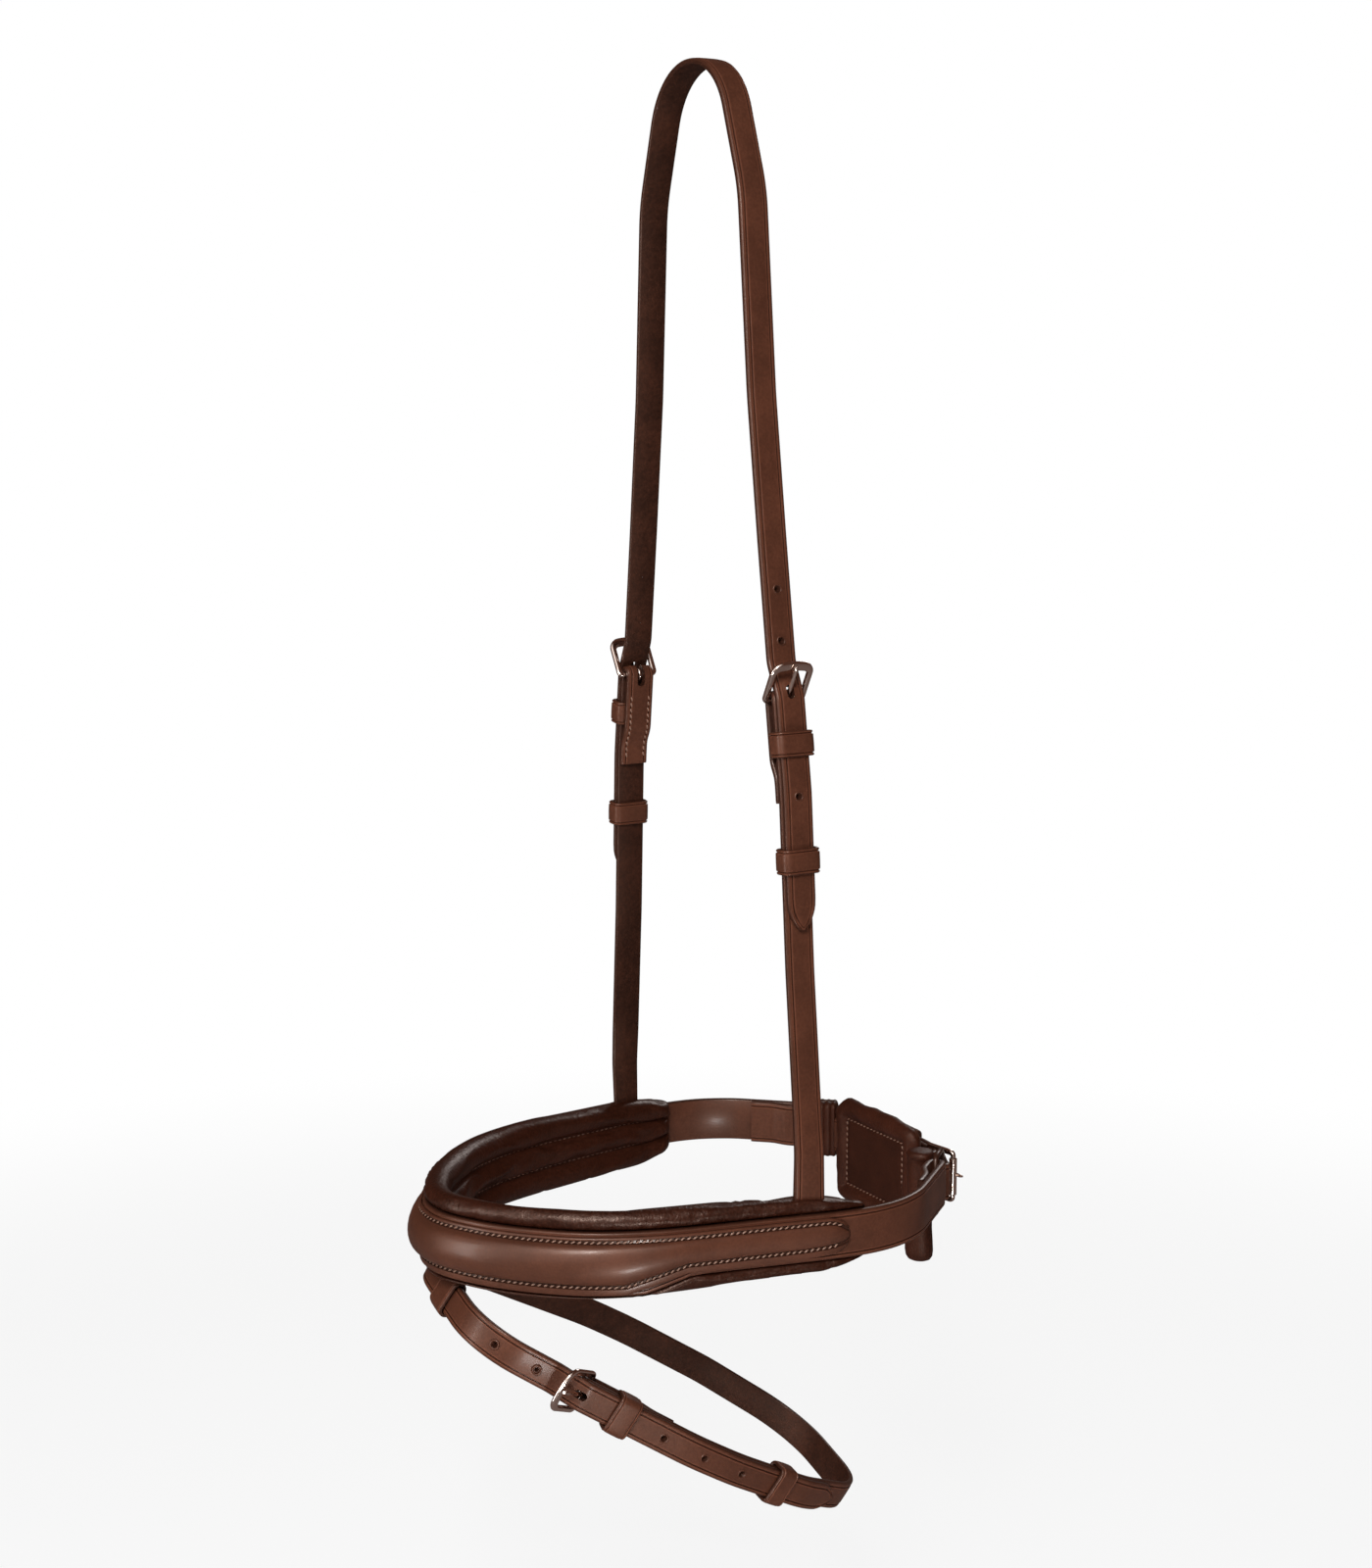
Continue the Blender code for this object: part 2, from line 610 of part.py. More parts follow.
def build_kit(
    prefix, run, bar, sense, slider_at, width=STRAP_WIDTH, fixed_at=FIXED_KEEPER_AT, keeper_half=KEEPER_HALF,
    side_half=FRAME_SIDE_HALF, tilt=FRAME_TILT, round_tip=False, reach=TONGUE_REACH, rise=TONGUE_COIL,
):
    """The frame, tongue and two keepers of one buckle."""
    frame = run.matrix(bar, 0, sense)
    buckle_frame(f"{prefix}_buckle_frame", frame, tilt, side_half, round_tip)
    tongue(f"{prefix}_buckle_tongue", frame_turned(frame, tilt), reach, rise)
    main, over = kit_levels()
    low, high = layer_limits(main, over)
    for kind, at in (("fixed", fixed_at), ("sliding", slider_at)):
        place = run.matrix(bar - sense * at, 0, sense)
        band(f"{prefix}_{kind}_keeper", place, low, high, width / 2 + GAP, keeper_half)


def build_cheek(prefix, run, bar, sense):
    """A cheek strap, folded round its buckle's hinge bar and run down to the seam in the noseband."""
    main, _ = kit_levels()
    end = bar if sense > 0 else run.length - bar
    spots = chape_spots(bar, sense, TURN_BACK)
    below = [(bar - sense * reach, main) for reach in spread(CREW_REACH, end, LONG_STEP / 2)[1:]]
    spots += below
    twists = []
    for s, n in spots:
        share = min(max((TWIST_FROM - run.point(s, n)[2]) / (TWIST_FROM - BASE_TOP), 0), 1)
        twists.append(-SEAM_TWIST * share)
    strap_obj = strap(f"{prefix}_cheek_strap", run, spots, STRAP_WIDTH, twists=twists)
    crew_cut(f"{prefix}_cheek_crew", strap_obj, run.matrix(bar, 0, sense))
    build_kit(f"{prefix}_cheek", run, bar, sense, CHEEK_SLIDER_AT)


def ring_run():
    near = list(RING_PLAN)
    far = [(-x, y) for x, y in reversed(near[1:])]
    return Run(plane_of((0, 0, 0), (1, 0, 0), (0, 1, 0)), smoothed(far + near))


def table(pairs, reach):
    return float(np.interp(abs(reach), [pair[0] for pair in pairs], [pair[1] for pair in pairs]))


def half_base_spots(end):
    """Half of the base strap: from the nose to its end, folded inward round an end square's bar."""
    level = BASE_THICK / 2
    radius = SQUARE_WIRE + GAP + BASE_THICK / 2
    spots = [(reach, -level) for reach in spread(0, end - BASE_THICK, BASE_STEP)]
    for degrees in (90, 64, 38, 12, -14, -40, -66, -90):
        turn = math.radians(degrees)
        spots.append((end + radius * math.cos(turn), -level - radius + radius * math.sin(turn)))
    spots.append((end - BASE_TURN_BACK * BASE_FOLD_OPENS_SHARE, -level - 2 * radius))
    spots.append((end - BASE_TURN_BACK * BASE_FOLD_MEETS_SHARE, -level - BASE_THICK - GAP))
    spots.append((end - BASE_TURN_BACK, -level - BASE_THICK - GAP))
    return spots


def build_base(run):
    """The noseband's base strap: a band round the nose and jaw whose ends fold round the end squares."""
    middle = run.length / 2
    near_end = middle - BASE_THICK
    off_end = near_end - OFF_END_SHORTER
    spots = [(middle - reach, n) for reach, n in reversed(half_base_spots(off_end)[1:])]
    spots += [(middle + reach, n) for reach, n in half_base_spots(near_end)]
    heights = ((BASE_STEP_FROM, BASE_NOSE_HEIGHT), (BASE_STEP_TO, BASE_HEIGHT))
    spans = [(BASE_TOP - table(heights, s - middle), BASE_TOP) for s, _ in spots]
    strap("noseband_base_strap", run, spots, BASE_HEIGHT, BASE_THICK, spans=spans)
    square("near_end_square", run, middle + near_end, NEAR_INNER_BAR)
    square("off_end_square", run, middle - off_end, OFF_INNER_BAR)


def square(name, run, place, inner_bar):
    """A rectangular wire loop that joins the base strap's folded end to the jaw strap."""
    radius = SQUARE_WIRE + GAP + BASE_THICK / 2
    outer = run.flat(place, -BASE_THICK / 2 - radius)[0]
    inner = np.array(inner_bar)
    curve = bpy.data.curves.new(name, "CURVE")
    curve.dimensions = "3D"
    curve.bevel_depth = SQUARE_WIRE
    curve.bevel_resolution = 1
    spline = curve.splines.new("POLY")
    step = (inner - outer) / np.linalg.norm(inner - outer) * SQUARE_WIRE
    middle = BASE_TOP - BASE_HEIGHT / 2 - SQUARE_DROP
    top, cut = SQUARE_HALF, SQUARE_HALF - SQUARE_WIRE
    spots = [
        (*outer, middle - cut), (*outer, middle + cut),
        (*(outer + step), middle + top), (*(inner - step), middle + top),
        (*inner, middle + cut), (*inner, middle - cut),
        (*(inner - step), middle - top), (*(outer + step), middle - top),
    ]
    spline.points.add(len(spots) - 1)
    for point, spot in zip(spline.points, spots):
        point.co = (*spot, 1)
    spline.use_cyclic_u = True
    finish(name, curve, METAL, 1.0, 0.35)


def swept(name, run, reach, outline, colour):
    """A closed section carried along the ring to both ends. outline(reach) gives (offset, height) pairs."""
    shares = list(END_SHARES) + list(np.linspace(MIDDLE_SHARE, 0, MIDDLE_STEPS))
    shares = [-share for share in shares] + shares[-2::-1]
    middle = run.length / 2
    rings = [[run.point(middle + share * reach, n, z) for n, z in outline(share * reach)] for share in shares]
    return finish(name, grid_of(rings, name, wrap_columns=True, capped=True), colour)


def eased(reach, limit, length):
    """1 along the middle, falling in a quarter circle to 0 at the limit."""
    left = min(max((limit - abs(reach)) / length, 0), 1)
    return math.sqrt(1 - (1 - left) ** 2)


def pad_profile(reach):
    """The pad's inner side: three rolls with a sewn channel between each two, from top to bottom."""
    full = PAD_END_SHARE + (1 - PAD_END_SHARE) * eased(reach, PAD_REACH, PAD_DEEP)
    top, bottom = table(PAD_TOPS, reach), table(PAD_BOTTOMS, reach)
    front = -BASE_THICK - GAP
    return [(front - PAD_DEEP * full * share, top - (top - bottom) * down) for down, share in PAD_SHARES]


def build_pad(run):
    """The nose pad: a nappa lining sewn over foam, open at the back where it lies on the base strap."""
    lining = swept("nose_pad", run, PAD_REACH, pad_profile, LINING)
    middle = run.length / 2
    reach = run.distance_at(1, -HEAD_LEAN_SHARE * BASE_TOP, middle) - middle
    tall = 2 * (BASE_TOP - SEAM_END[1]) + 2 * OVERRUN
    bm = bmesh.new()
    for side in (-1, 1):
        frame = run.matrix(middle + side * reach, -BASE_THICK)
        frame[2, 3] += BASE_TOP
        made = bmesh.ops.create_cube(bm, size=1.0)
        scale = Matrix.Diagonal((2 * POCKET_HALF, tall, 2 * POCKET_DEEP, 1))
        bmesh.ops.transform(bm, matrix=Matrix(frame) @ scale, verts=made["verts"])
    obj = bpy.data.objects.new("nose_pad_pockets", mesh_of(bm, "nose_pad_pockets"))
    CUTTERS.objects.link(obj)
    obj.display_type = "WIRE"
    obj.hide_render = True
    cut = lining.modifiers.new("pockets", "BOOLEAN")
    cut.operation = "DIFFERENCE"
    cut.solver = "EXACT"
    cut.object = obj


def cover_outline(reach):
    """The raised cover's domed section on the base strap's outer face."""
    full = eased(reach, COVER_REACH, BASE_HEIGHT / 2)
    bottom, top = table(COVER_BOTTOMS, reach), COVER_TOP
    middle = (top + bottom) / 2
    half = (top - bottom) / 2 * (COVER_POINT_SHARE + (1 - COVER_POINT_SHARE) * full)
    rise = table(COVER_RISES, reach) * (1 + full) / 2
    spots = [(GAP, middle - half), (GAP, middle + half)]
    spots += [(GAP + rise * up, middle + half * across) for across, up in COVER_SHARES]
    return spots


def jaw_run():
    line = filleted([JAW_FAR, JAW_MIDDLE, JAW_NEAR])[::-1]
    return Run(plane_of((0, 0, JAW_HEIGHT), (1, 0, 0), (0, 1, 0)), line)


def build_jaw(run):
    """The jaw strap: from its buckle to the far square, back inside, round the near square and out."""
    bar = run.distance_at(0, JAW_BAR_ACROSS)
    main, over = kit_levels()
    tip = bar + JAW_TIP_REACH
    reaches = [tip - TIP_LENGTH * share for share in TIP_SHARES]
    reaches += spread(tip - TIP_LENGTH, bar + CREW_REACH, JAW_STEP)[1:]
    turn, level = billet_turn_spots(bar, -1)
    spots = [(s, level) for s in reaches] + turn
    wrap = SQUARE_WIRE + GAP + STRAP_THICK / 2
    frame = run.matrix(bar, 0, -1)
    offset = np.array([*NEAR_INNER_BAR, JAW_HEIGHT]) - frame[:3, 3]
    along, out = offset @ frame[:3, 0], offset @ frame[:3, 2]
    for degrees in range(74, -91, -20):
        angle = math.radians(degrees)
        spots.append((bar - (along + wrap * math.cos(angle)), out + wrap * math.sin(angle)))
    spots.append((bar - along, out - wrap))
    far = run.distance_at(0, OFF_INNER_BAR[0])
    close = bar + JAW_CLOSES_AT
    spots += [(s, -JAW_INNER) for s in spread(bar - FRAME_LENGTH / 2, close - JAW_CLOSING, JAW_STEP)]
    spots += [(s, -JAW_INNER_CLOSE) for s in spread(close, far)]
    far_frame = run.matrix(far, 0, -1)
    shift = (np.array([*OFF_INNER_BAR, JAW_HEIGHT]) - far_frame[:3, 3]) @ far_frame[:3, 2]
    for degrees in range(-90, 91, 20):
        angle = math.radians(degrees)
        spots.append((far + wrap * math.cos(angle), shift + wrap * math.sin(angle)))
    spots += [(s, main) for s in spread(far - JAW_STEP, bar + CREW_REACH, JAW_STEP)]
    back = chape_spots(bar, -1, JAW_TURN_BACK)
    spots += back[::-1][1:]
    spans = [(-JAW_WIDTH / 2, JAW_WIDTH / 2)] * len(spots)
    tips = tip_spans(reaches, tip, JAW_WIDTH)
    for i, reach in enumerate(reaches):
        spans[i] = tips[i]
    jaw = strap("jaw_strap", run, spots, JAW_WIDTH, spans=spans)
    crew_cut("jaw_crew", jaw, frame)
    cutter("jaw_slot", jaw, [tilted_slot(frame, CHIN_SLOT_FROM, CHIN_SLOT_TO)])
    build_kit(
        "chin", run, bar, -1, JAW_SLIDER_AT, JAW_WIDTH, JAW_FIXED_AT, JAW_KEEPER_HALF, JAW_SIDE_HALF,
        ROLLER_TILT, True, FRAME_LENGTH + CHIN_TONGUE_PAST, CHIN_TONGUE_RISE,
    )
    roller("chin_buckle_roller", frame_turned(frame, ROLLER_TILT))
    place = run.matrix(bar + CHIN_LOOP_AT, 0, -1)
    low = -JAW_INNER - STRAP_THICK / 2 - CHIN_LOOP_ROOM
    high = over + STRAP_THICK / 2 + CHIN_LOOP_ROOM
    band("chin_pad_loop", place, low, high, JAW_WIDTH / 2 + CHIN_LOOP_ROOM, CHIN_LOOP_HALF)


def roller(name, frame):
    """A tube that turns on the frame's round tip bar."""
    curve = bpy.data.curves.new(name, "CURVE")
    curve.dimensions = "2D"
    curve.fill_mode = "BOTH"
    curve.extrude = ROLLER_HALF
    for radius in (ROLLER_RADIUS, ROLLER_BORE):
        spline = curve.splines.new("POLY")
        spline.points.add(15)
        for step, point in enumerate(spline.points):
            turn = 2 * math.pi * step / 16
            point.co = (radius * math.cos(turn), radius * math.sin(turn), 0, 1)
        spline.use_cyclic_u = True
    obj = finish(name, curve, METAL, 1.0, 0.2)
    moved = frame @ np.array(Matrix.Translation((FRAME_LENGTH, 0, 0)))
    obj.matrix_world = Matrix(moved @ np.array(Matrix.Rotation(math.pi / 2, 4, "X")))


def build_chin_pad():
    """The chin pad: a rolled border, a sewn channel round a flat panel, and a cuff at the near end."""
    middle = (CHIN_PAD_TOP + CHIN_PAD_BOTTOM) / 2
    rings = []
    for share, full, panel in CHIN_PAD_SHARES:
        half = (CHIN_PAD_TOP - CHIN_PAD_BOTTOM) / 2 * (CHIN_END_SHARE + (1 - CHIN_END_SHARE) * full)
        below = CHIN_BORDER_SHARES + tuple((z, depth * panel) for z, depth in CHIN_PANEL_SHARES)
        inner_side = below + tuple((-z, depth) for z, depth in below[-2::-1])
        ring = []
        for z, depth in inner_side + CHIN_BACK_SHARES:
            y = CHIN_PAD_INNER + CHIN_PAD_DEEP * (1 + (2 * depth - 1) * full) / 2
            ring.append((share * CHIN_PAD_HALF, y, middle + z * half))
        rings.append(ring)
    finish("chin_pad", grid_of(rings, "chin_pad", wrap_columns=True, capped=True), LINING)
    rings = []
    left = CHIN_PAD_HALF + GAP
    for height, full in CHIN_CUFF_SHARES:
        z = middle + height * (CHIN_PAD_TOP - CHIN_PAD_BOTTOM) / 2
        z -= CHIN_CUFF_DROP * (1 - height) / 2 + CHIN_CUFF_DROP / 2
        ring = []
        for step in range(12):
            turn = 2 * math.pi * step / 12
            x = left + CHIN_CUFF_WIDE / 2 * (1 + full * math.cos(turn))
            y = CHIN_PAD_INNER - CHIN_CUFF_INWARD + CHIN_PAD_DEEP / 2 * (1 + full * math.sin(turn))
            ring.append((x, y, z))
        rings.append(ring)
    finish("chin_pad_cuff", grid_of(rings, "chin_pad_cuff", wrap_columns=True, capped=True), LINING)


def flash_run():
    down, back = math.sin(FLASH_DROOP), math.cos(FLASH_DROOP)
    along = np.array([0, back, -down])
    square_up = np.cross((1, 0, 0), along)
    across = math.cos(FLASH_ROLL) * np.array([1, 0, 0]) - math.sin(FLASH_ROLL) * square_up
    near = [(0.0, 0.0), *FLASH_CORNERS]
    far = [(-a, b, radius) for a, b, radius in reversed(FLASH_CORNERS)]
    line = filleted(near + far + [(0.0, 0.0)])
    return Run(plane_of(FLASH_NOSE, across, along), line, FLASH_INSET)


def build_flash(run):
    """The flash strap: one hoop from its buckle round the jaw and through the nose loop to its billet.

    It swings with its loop, keepers and buckle about the seam that holds the loop.
    """
    bar = run.distance_at(1, FLASH_BAR_ALONG)
    main, _ = kit_levels()
    tip = bar + FLASH_TIP_REACH
    turn, level = billet_turn_spots(bar, -1)
    reaches = [tip - TIP_LENGTH * share for share in TIP_SHARES]
    reaches += spread(tip - TIP_LENGTH, bar + CREW_REACH, FLASH_STEP)[1:]
    spots = [(s, level) for s in reaches] + turn
    front = spread(bar - BILLET_MEETS[0] - FLASH_STEP, 0.0, FLASH_CORNER_STEP)
    rises = np.linspace(BILLET_LINE, main, len(front))
    spots += list(zip(front, rises))
    spots += [(s, main) for s in spread(run.length, bar + CREW_REACH, FLASH_STEP)[1:]]
    spots += chape_spots(bar, -1, TURN_BACK)[::-1][1:]
    spans = [(-STRAP_WIDTH / 2, STRAP_WIDTH / 2)] * len(spots)
    tips = tip_spans(reaches, tip, STRAP_WIDTH)
    for i in range(len(reaches)):
        spans[i] = tips[i]
    flash = strap("flash_strap", run, spots, STRAP_WIDTH, spans=spans)
    frame = run.matrix(bar, 0, -1)
    crew_cut("flash_crew", flash, frame)
    frames = [tilted_slot(frame)]
    for step in FLASH_HOLES:
        s = bar - CHEEK_HOLE_REACH + step * HOLE_PITCH
        n = level if step > 0 else (BILLET_LINE + main) / 2
        frames.append((run.matrix(s, n, -1), HOLE_RADIUS, HOLE_RADIUS, STRAP_THICK))
    cutter("flash_holes", flash, frames)
    build_kit("flash", run, bar, -1, FLASH_SLIDER_AT)
    place = run.matrix(0.0, 0, 1)
    low, high = layer_limits(main, main)
    band("flash_loop", place, low - GAP, high + GAP, STRAP_WIDTH / 2 + GAP, FLASH_LOOP_HALF, FLASH_LOOP_THICK)
    hinge = bpy.data.objects.new("flash_hinge", None)
    PARTS.objects.link(hinge)
    hinge.location = FLASH_HINGE
    bpy.context.view_layer.update()
    for obj in PARTS.objects:
        if obj.name.startswith("flash_") and obj is not hinge:
            obj.parent = hinge
            obj.matrix_parent_inverse = hinge.matrix_world.inverted()


def main():
    head = head_run()
    bar = build_head(head)
    build_cheek("near", head, bar, 1)
    build_cheek("off", head, head.length - bar, -1)
    ring = ring_run()
    build_base(ring)
    build_pad(ring)
    swept("raised_nose_cover", ring, COVER_REACH, cover_outline, LEATHER)
    build_jaw(jaw_run())
    build_chin_pad()
    build_flash(flash_run())


PARTS, CUTTERS = start_empty()
main()
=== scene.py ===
import json
import math

import bmesh
import bpy
import numpy as np
from mathutils import Matrix, Vector, noise
from mathutils.kdtree import KDTree

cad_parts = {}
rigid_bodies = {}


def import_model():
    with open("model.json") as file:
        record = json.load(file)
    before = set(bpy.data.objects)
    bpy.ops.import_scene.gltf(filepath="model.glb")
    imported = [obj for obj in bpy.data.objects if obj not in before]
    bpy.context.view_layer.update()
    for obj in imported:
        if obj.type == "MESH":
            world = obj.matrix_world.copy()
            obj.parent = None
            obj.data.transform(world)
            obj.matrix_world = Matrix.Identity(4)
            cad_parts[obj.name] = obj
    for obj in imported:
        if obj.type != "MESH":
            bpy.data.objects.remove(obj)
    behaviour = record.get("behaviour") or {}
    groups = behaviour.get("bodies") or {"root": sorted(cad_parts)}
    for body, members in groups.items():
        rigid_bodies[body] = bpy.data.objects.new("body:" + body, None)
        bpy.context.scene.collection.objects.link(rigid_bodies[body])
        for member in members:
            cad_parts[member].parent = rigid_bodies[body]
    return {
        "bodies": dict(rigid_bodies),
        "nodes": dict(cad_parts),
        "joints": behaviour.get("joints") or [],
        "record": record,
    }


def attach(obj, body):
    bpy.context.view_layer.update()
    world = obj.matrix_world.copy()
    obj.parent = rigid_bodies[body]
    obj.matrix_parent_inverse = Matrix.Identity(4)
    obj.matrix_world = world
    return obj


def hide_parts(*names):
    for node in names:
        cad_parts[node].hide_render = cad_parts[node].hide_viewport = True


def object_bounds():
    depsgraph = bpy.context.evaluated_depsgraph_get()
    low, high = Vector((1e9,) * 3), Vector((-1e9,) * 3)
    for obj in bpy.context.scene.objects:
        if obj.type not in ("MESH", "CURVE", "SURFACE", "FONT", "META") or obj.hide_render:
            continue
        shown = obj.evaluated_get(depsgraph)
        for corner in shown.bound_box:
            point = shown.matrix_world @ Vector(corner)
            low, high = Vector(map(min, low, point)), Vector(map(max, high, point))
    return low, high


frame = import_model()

CAD_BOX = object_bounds()

bl_info = {
    "name": "Bridle noseband",
    "version": (1, 0, 0),
    "blender": (4, 5, 0),
    "location": "3D View > Sidebar > Noseband",
    "description": "Makes a padded leather noseband with its flash strap, buckles and studio",
    "category": "Add Mesh",
}

# Straps
GAP = 0.0003
FINE_STEP = 0.0005
ROW_STEP = 0.0012
SOFTENING_ROUNDS = 3
BLUNT_TIP = 0.0012
TIP_LENGTH = 0.0125
HOLE_PITCH = 0.0200
HOLE_BACK_SHARE = 0.05
HOLE_MOUTH_SHARE = 0.75
HOLE_DEPTH_SHARE = 0.55
LEAST_RADIUS = 0.0004

# Head strap and cheek straps, in the plane of the legs: across from the middle, height and corner radius
CROWN_HALF = 0.0220
CROWN_RADIUS = 0.0300
HEAD_LEAN_SHARE = 0.013
TEMPLE = (0.0400, -0.0520, 0.0600)
BROW = (0.0460, -0.1300, 0.1500)
UPPER_CHEEK = (0.0530, -0.1850, 0.1000)
MID_CHEEK = (0.0664, -0.2830, 0.0800)
LOWER_CHEEK = (0.0705, -0.3520, 0.2000)
JAW_END = (0.0768, -0.4240, 0.0500)
SEAM_BEND = (0.0764, -0.4430, 0.0300)
SEAM_END = (0.0762, -0.4570)
SEAM_TWIST_SHARE = 0.20
TWIST_FROM = -0.4100
CHEEK_BAR_HEIGHT = 0.2465
CHEEK_TIP_REACH = 0.0894
CHEEK_SLIDER_TO_TIP = 0.0270
CHEEK_HOLE_REACH = 0.0026
HOLES_BEYOND = 3
HOLES_BEFORE = 2
BILLET_FREE = 0.0140
CROWN_STEP = 0.0100

# Buckle kit, measured from the hinge bar: forward to the tip bar, outward from the strap's line
BAR_RADIUS = 0.0011
FRAME_LENGTH = 0.0150
FRAME_TILT = math.radians(38)
ROLLER_TILT = math.radians(19)
FRAME_SIDE_HALF = 0.00825
SIDE_BAR_HALF = 0.00125
FRAME_THICK_HALF = 0.0010
TIP_BAR_HALF = 0.0020
TIP_BAR_BOW = 0.0008
HINGE_CORNER = 0.0014
TIP_CORNER = 0.0030
TONGUE_RADIUS = 0.00085
TONGUE_COIL = 0.00225
TONGUE_REACH = 0.0172
TONGUE_SHARES = (0.15, 0.3, 0.45, 0.6, 0.75, 0.88, 0.95, 0.985, 1.0)
SLOT_FROM = -0.0004
SLOT_TO = 0.0053
SLOT_HALF = 0.00165
CHIN_SLOT_FROM = 0.0007
CHIN_SLOT_TO = 0.0099
CREW_REACH = 0.0046
CREW_HALF = 0.0017
CREW_DEEP = 0.0048
BILLET_TURN = math.radians(72)
BILLET_MEETS = (0.0145, 0.0010)
BILLET_LINE = 0.0010
TURN_BACK = 0.0400
TURN_BACK_MEETS = 0.0300
TURN_BACK_LEAVES = 0.0240
KEEPER_THICK = 0.0018
KEEPER_HALF = 0.0050
KEEPER_CORNER = 0.0010
FIXED_KEEPER_AT = 0.0173

# Noseband ring in plan: outer face of the near half, from the nose to the rear
RING_PLAN = (
    (0.0000, -0.1226), (0.0080, -0.1218), (0.0170, -0.1183), (0.0300, -0.1105), (0.0420, -0.1003),
    (0.0540, -0.0870), (0.0620, -0.0740), (0.0685, -0.0580), (0.0730, -0.0410), (0.0765, -0.0230),
    (0.0810, -0.0010), (0.0842, 0.0150), (0.0858, 0.0310), (0.0838, 0.0460), (0.0775, 0.0600),
    (0.0695, 0.0700), (0.0630, 0.0775), (0.0560, 0.0855), (0.0500, 0.0925),
)
BASE_TOP = -0.4480
BASE_HEIGHT = 0.0190
BASE_HEIGHTS = ((0.0950, 0.0255), (0.1150, 0.0190))
BASE_THICK = 0.0030
BASE_TURN_BACK = 0.0260
BASE_STEP = 0.0060
BASE_FOLD_OPENS_SHARE = 1 / 3
BASE_FOLD_MEETS_SHARE = 0.6

# Nose pad and raised cover, along the ring from the nose
PAD_REACH = 0.1880
PAD_TOPS = ((0.0000, -0.4418), (0.0600, -0.4408), (0.1200, -0.4412), (0.1600, -0.4420), (0.1880, -0.4445))
PAD_BOTTOMS = (
    (0.0000, -0.4762), (0.0200, -0.4754), (0.0500, -0.4757), (0.0900, -0.4742),
    (0.1350, -0.4726), (0.1700, -0.4720), (0.1880, -0.4700),
)
PAD_DEEP = 0.0082
PAD_TAPER = 0.0240
PAD_DRAWN_IN = 0.75
PAD_SWELL = 0.0027
PAD_PRESSURE = 4.0
PAD_FRAMES = 20
PAD_CAP = 0.0008
PAD_EXCESS = 0.012
PAD_FIRM_REACH = 0.0900
PAD_SEAMS = (0.33, 0.67)
PAD_ROLL_PEAKS = (1.0, 0.97, 1.0)
PAD_SEAM_SHARE = 0.50
PAD_EDGE_SHARE = 0.12
PAD_ROLL_FULLNESS = 0.85
PAD_ENDS = (1, 0.994, 0.985, 0.97)
PAD_ROWS = 190
PAD_SEWN_OUT = 0.6
PAD_ROWS_SHARE = 0.96
PAD_ROLL_POINTS = (12, 11, 12)
PAD_END_SHARE = 0.35
PAD_END_REACH = 0.0200
PAD_END_FIRM = 0.3
PAD_END_DEPTH = 0.55
PAD_SEAM_REACH = 0.93
PAD_SEAM_POINTS = 260
PAD_SEAM_PROUD = 0.0001
PAD_CLOTH = {
    "quality": 6, "mass": 0.15, "tension_stiffness": 20, "compression_stiffness": 20, "shear_stiffness": 8,
    "bending_stiffness": 0.05, "use_pressure": True, "uniform_pressure_force": PAD_PRESSURE,
    "vertex_group_mass": "sewn", "pin_stiffness": 1.0, "shrink_min": -PAD_EXCESS,
}
PAD_LIP = ((0.0, 0.0), (0.55, 0.06), (0.88, 0.22), (1.0, 0.45), (0.92, 0.68), (0.66, 0.87), (0.30, 0.97))
COVER_REACH = 0.1790
COVER_TOP = -0.4495
COVER_BOTTOMS = (
    (0.0000, -0.4725), (0.0880, -0.4725), (0.1120, -0.4655), (0.1600, -0.4650), (0.1790, -0.4640),
)
COVER_RISES = ((0.0000, 0.0060), (0.0550, 0.0052), (0.0950, 0.0040), (0.1200, 0.0026), (0.1790, 0.0020))
COVER_SKIRT = 0.0026
COVER_MARGINS = (0.0040, 0.0026)
COVER_SKIN = 0.0011
COVER_ENDS = (1, 0.997, 0.99, 0.98, 0.965, 0.95)
COVER_ROWS = 130
COVER_STITCH_PITCH = 0.0025
COVER_STITCH_SLANT = 0.6
COVER_OUTLINE = ((0, 0), (0.7, 0), (1, 0.18), (1, 0.38), (0.3, 0.52), (0.25, 0.90), (0.9, 1.04))
COVER_DOME = (0.08, 0.2, 0.35, 0.55, 0.8, 1.0)
COVER_SHOULDER = 0.8
COVER_END_SHARES = (0.12, 0.35)
COVER_SKIRT_SHARE = 0.55
COVER_ROWS_SHARE = 0.94
COVER_SEAM_SHARE = 0.29
COVER_SEAM_LEVEL = 0.75
COVER_SEAM_REACH = 0.985

# End squares and jaw strap, in plan
SQUARE_WIRE = 0.0012
NEAR_INNER_BAR = (0.0395, 0.0967)
OFF_INNER_BAR = (-0.0425, 0.0960)
OFF_END_SHORTER = 0.0025
SQUARE_HALF = 0.0122
SQUARE_DROP = 0.0012
LAYERS_FROM = -0.0035
LAYERS_TO = 0.0140
LAYERS_HALF = (0.0042, 0.0124)
LAYER_COUNT = 6
LAYER_RIDGE = 0.16
LAYER_ROWS = 49
LAYER_EASE = 0.25
LAYER_END_SHARES = (0.55, 0.90)
LAYER_CORNER_SHARE = 0.6
JAW_HEIGHT = -0.4605
JAW_WIDTH = 0.0160
JAW_FAR = (-0.0600, 0.0930)
JAW_MIDDLE = (0.0035, 0.1055, 0.0700)
JAW_NEAR = (0.0600, 0.0955)
JAW_BAR_ACROSS = 0.0220
JAW_TIP_REACH = 0.0660
JAW_FIXED_AT = 0.0375
JAW_SLIDER_AT = 0.0530
JAW_KEEPER_HALF = 0.0040
JAW_TURN_BACK = 0.0300
JAW_INNER = 0.00545
JAW_INNER_CLOSE = 0.00285
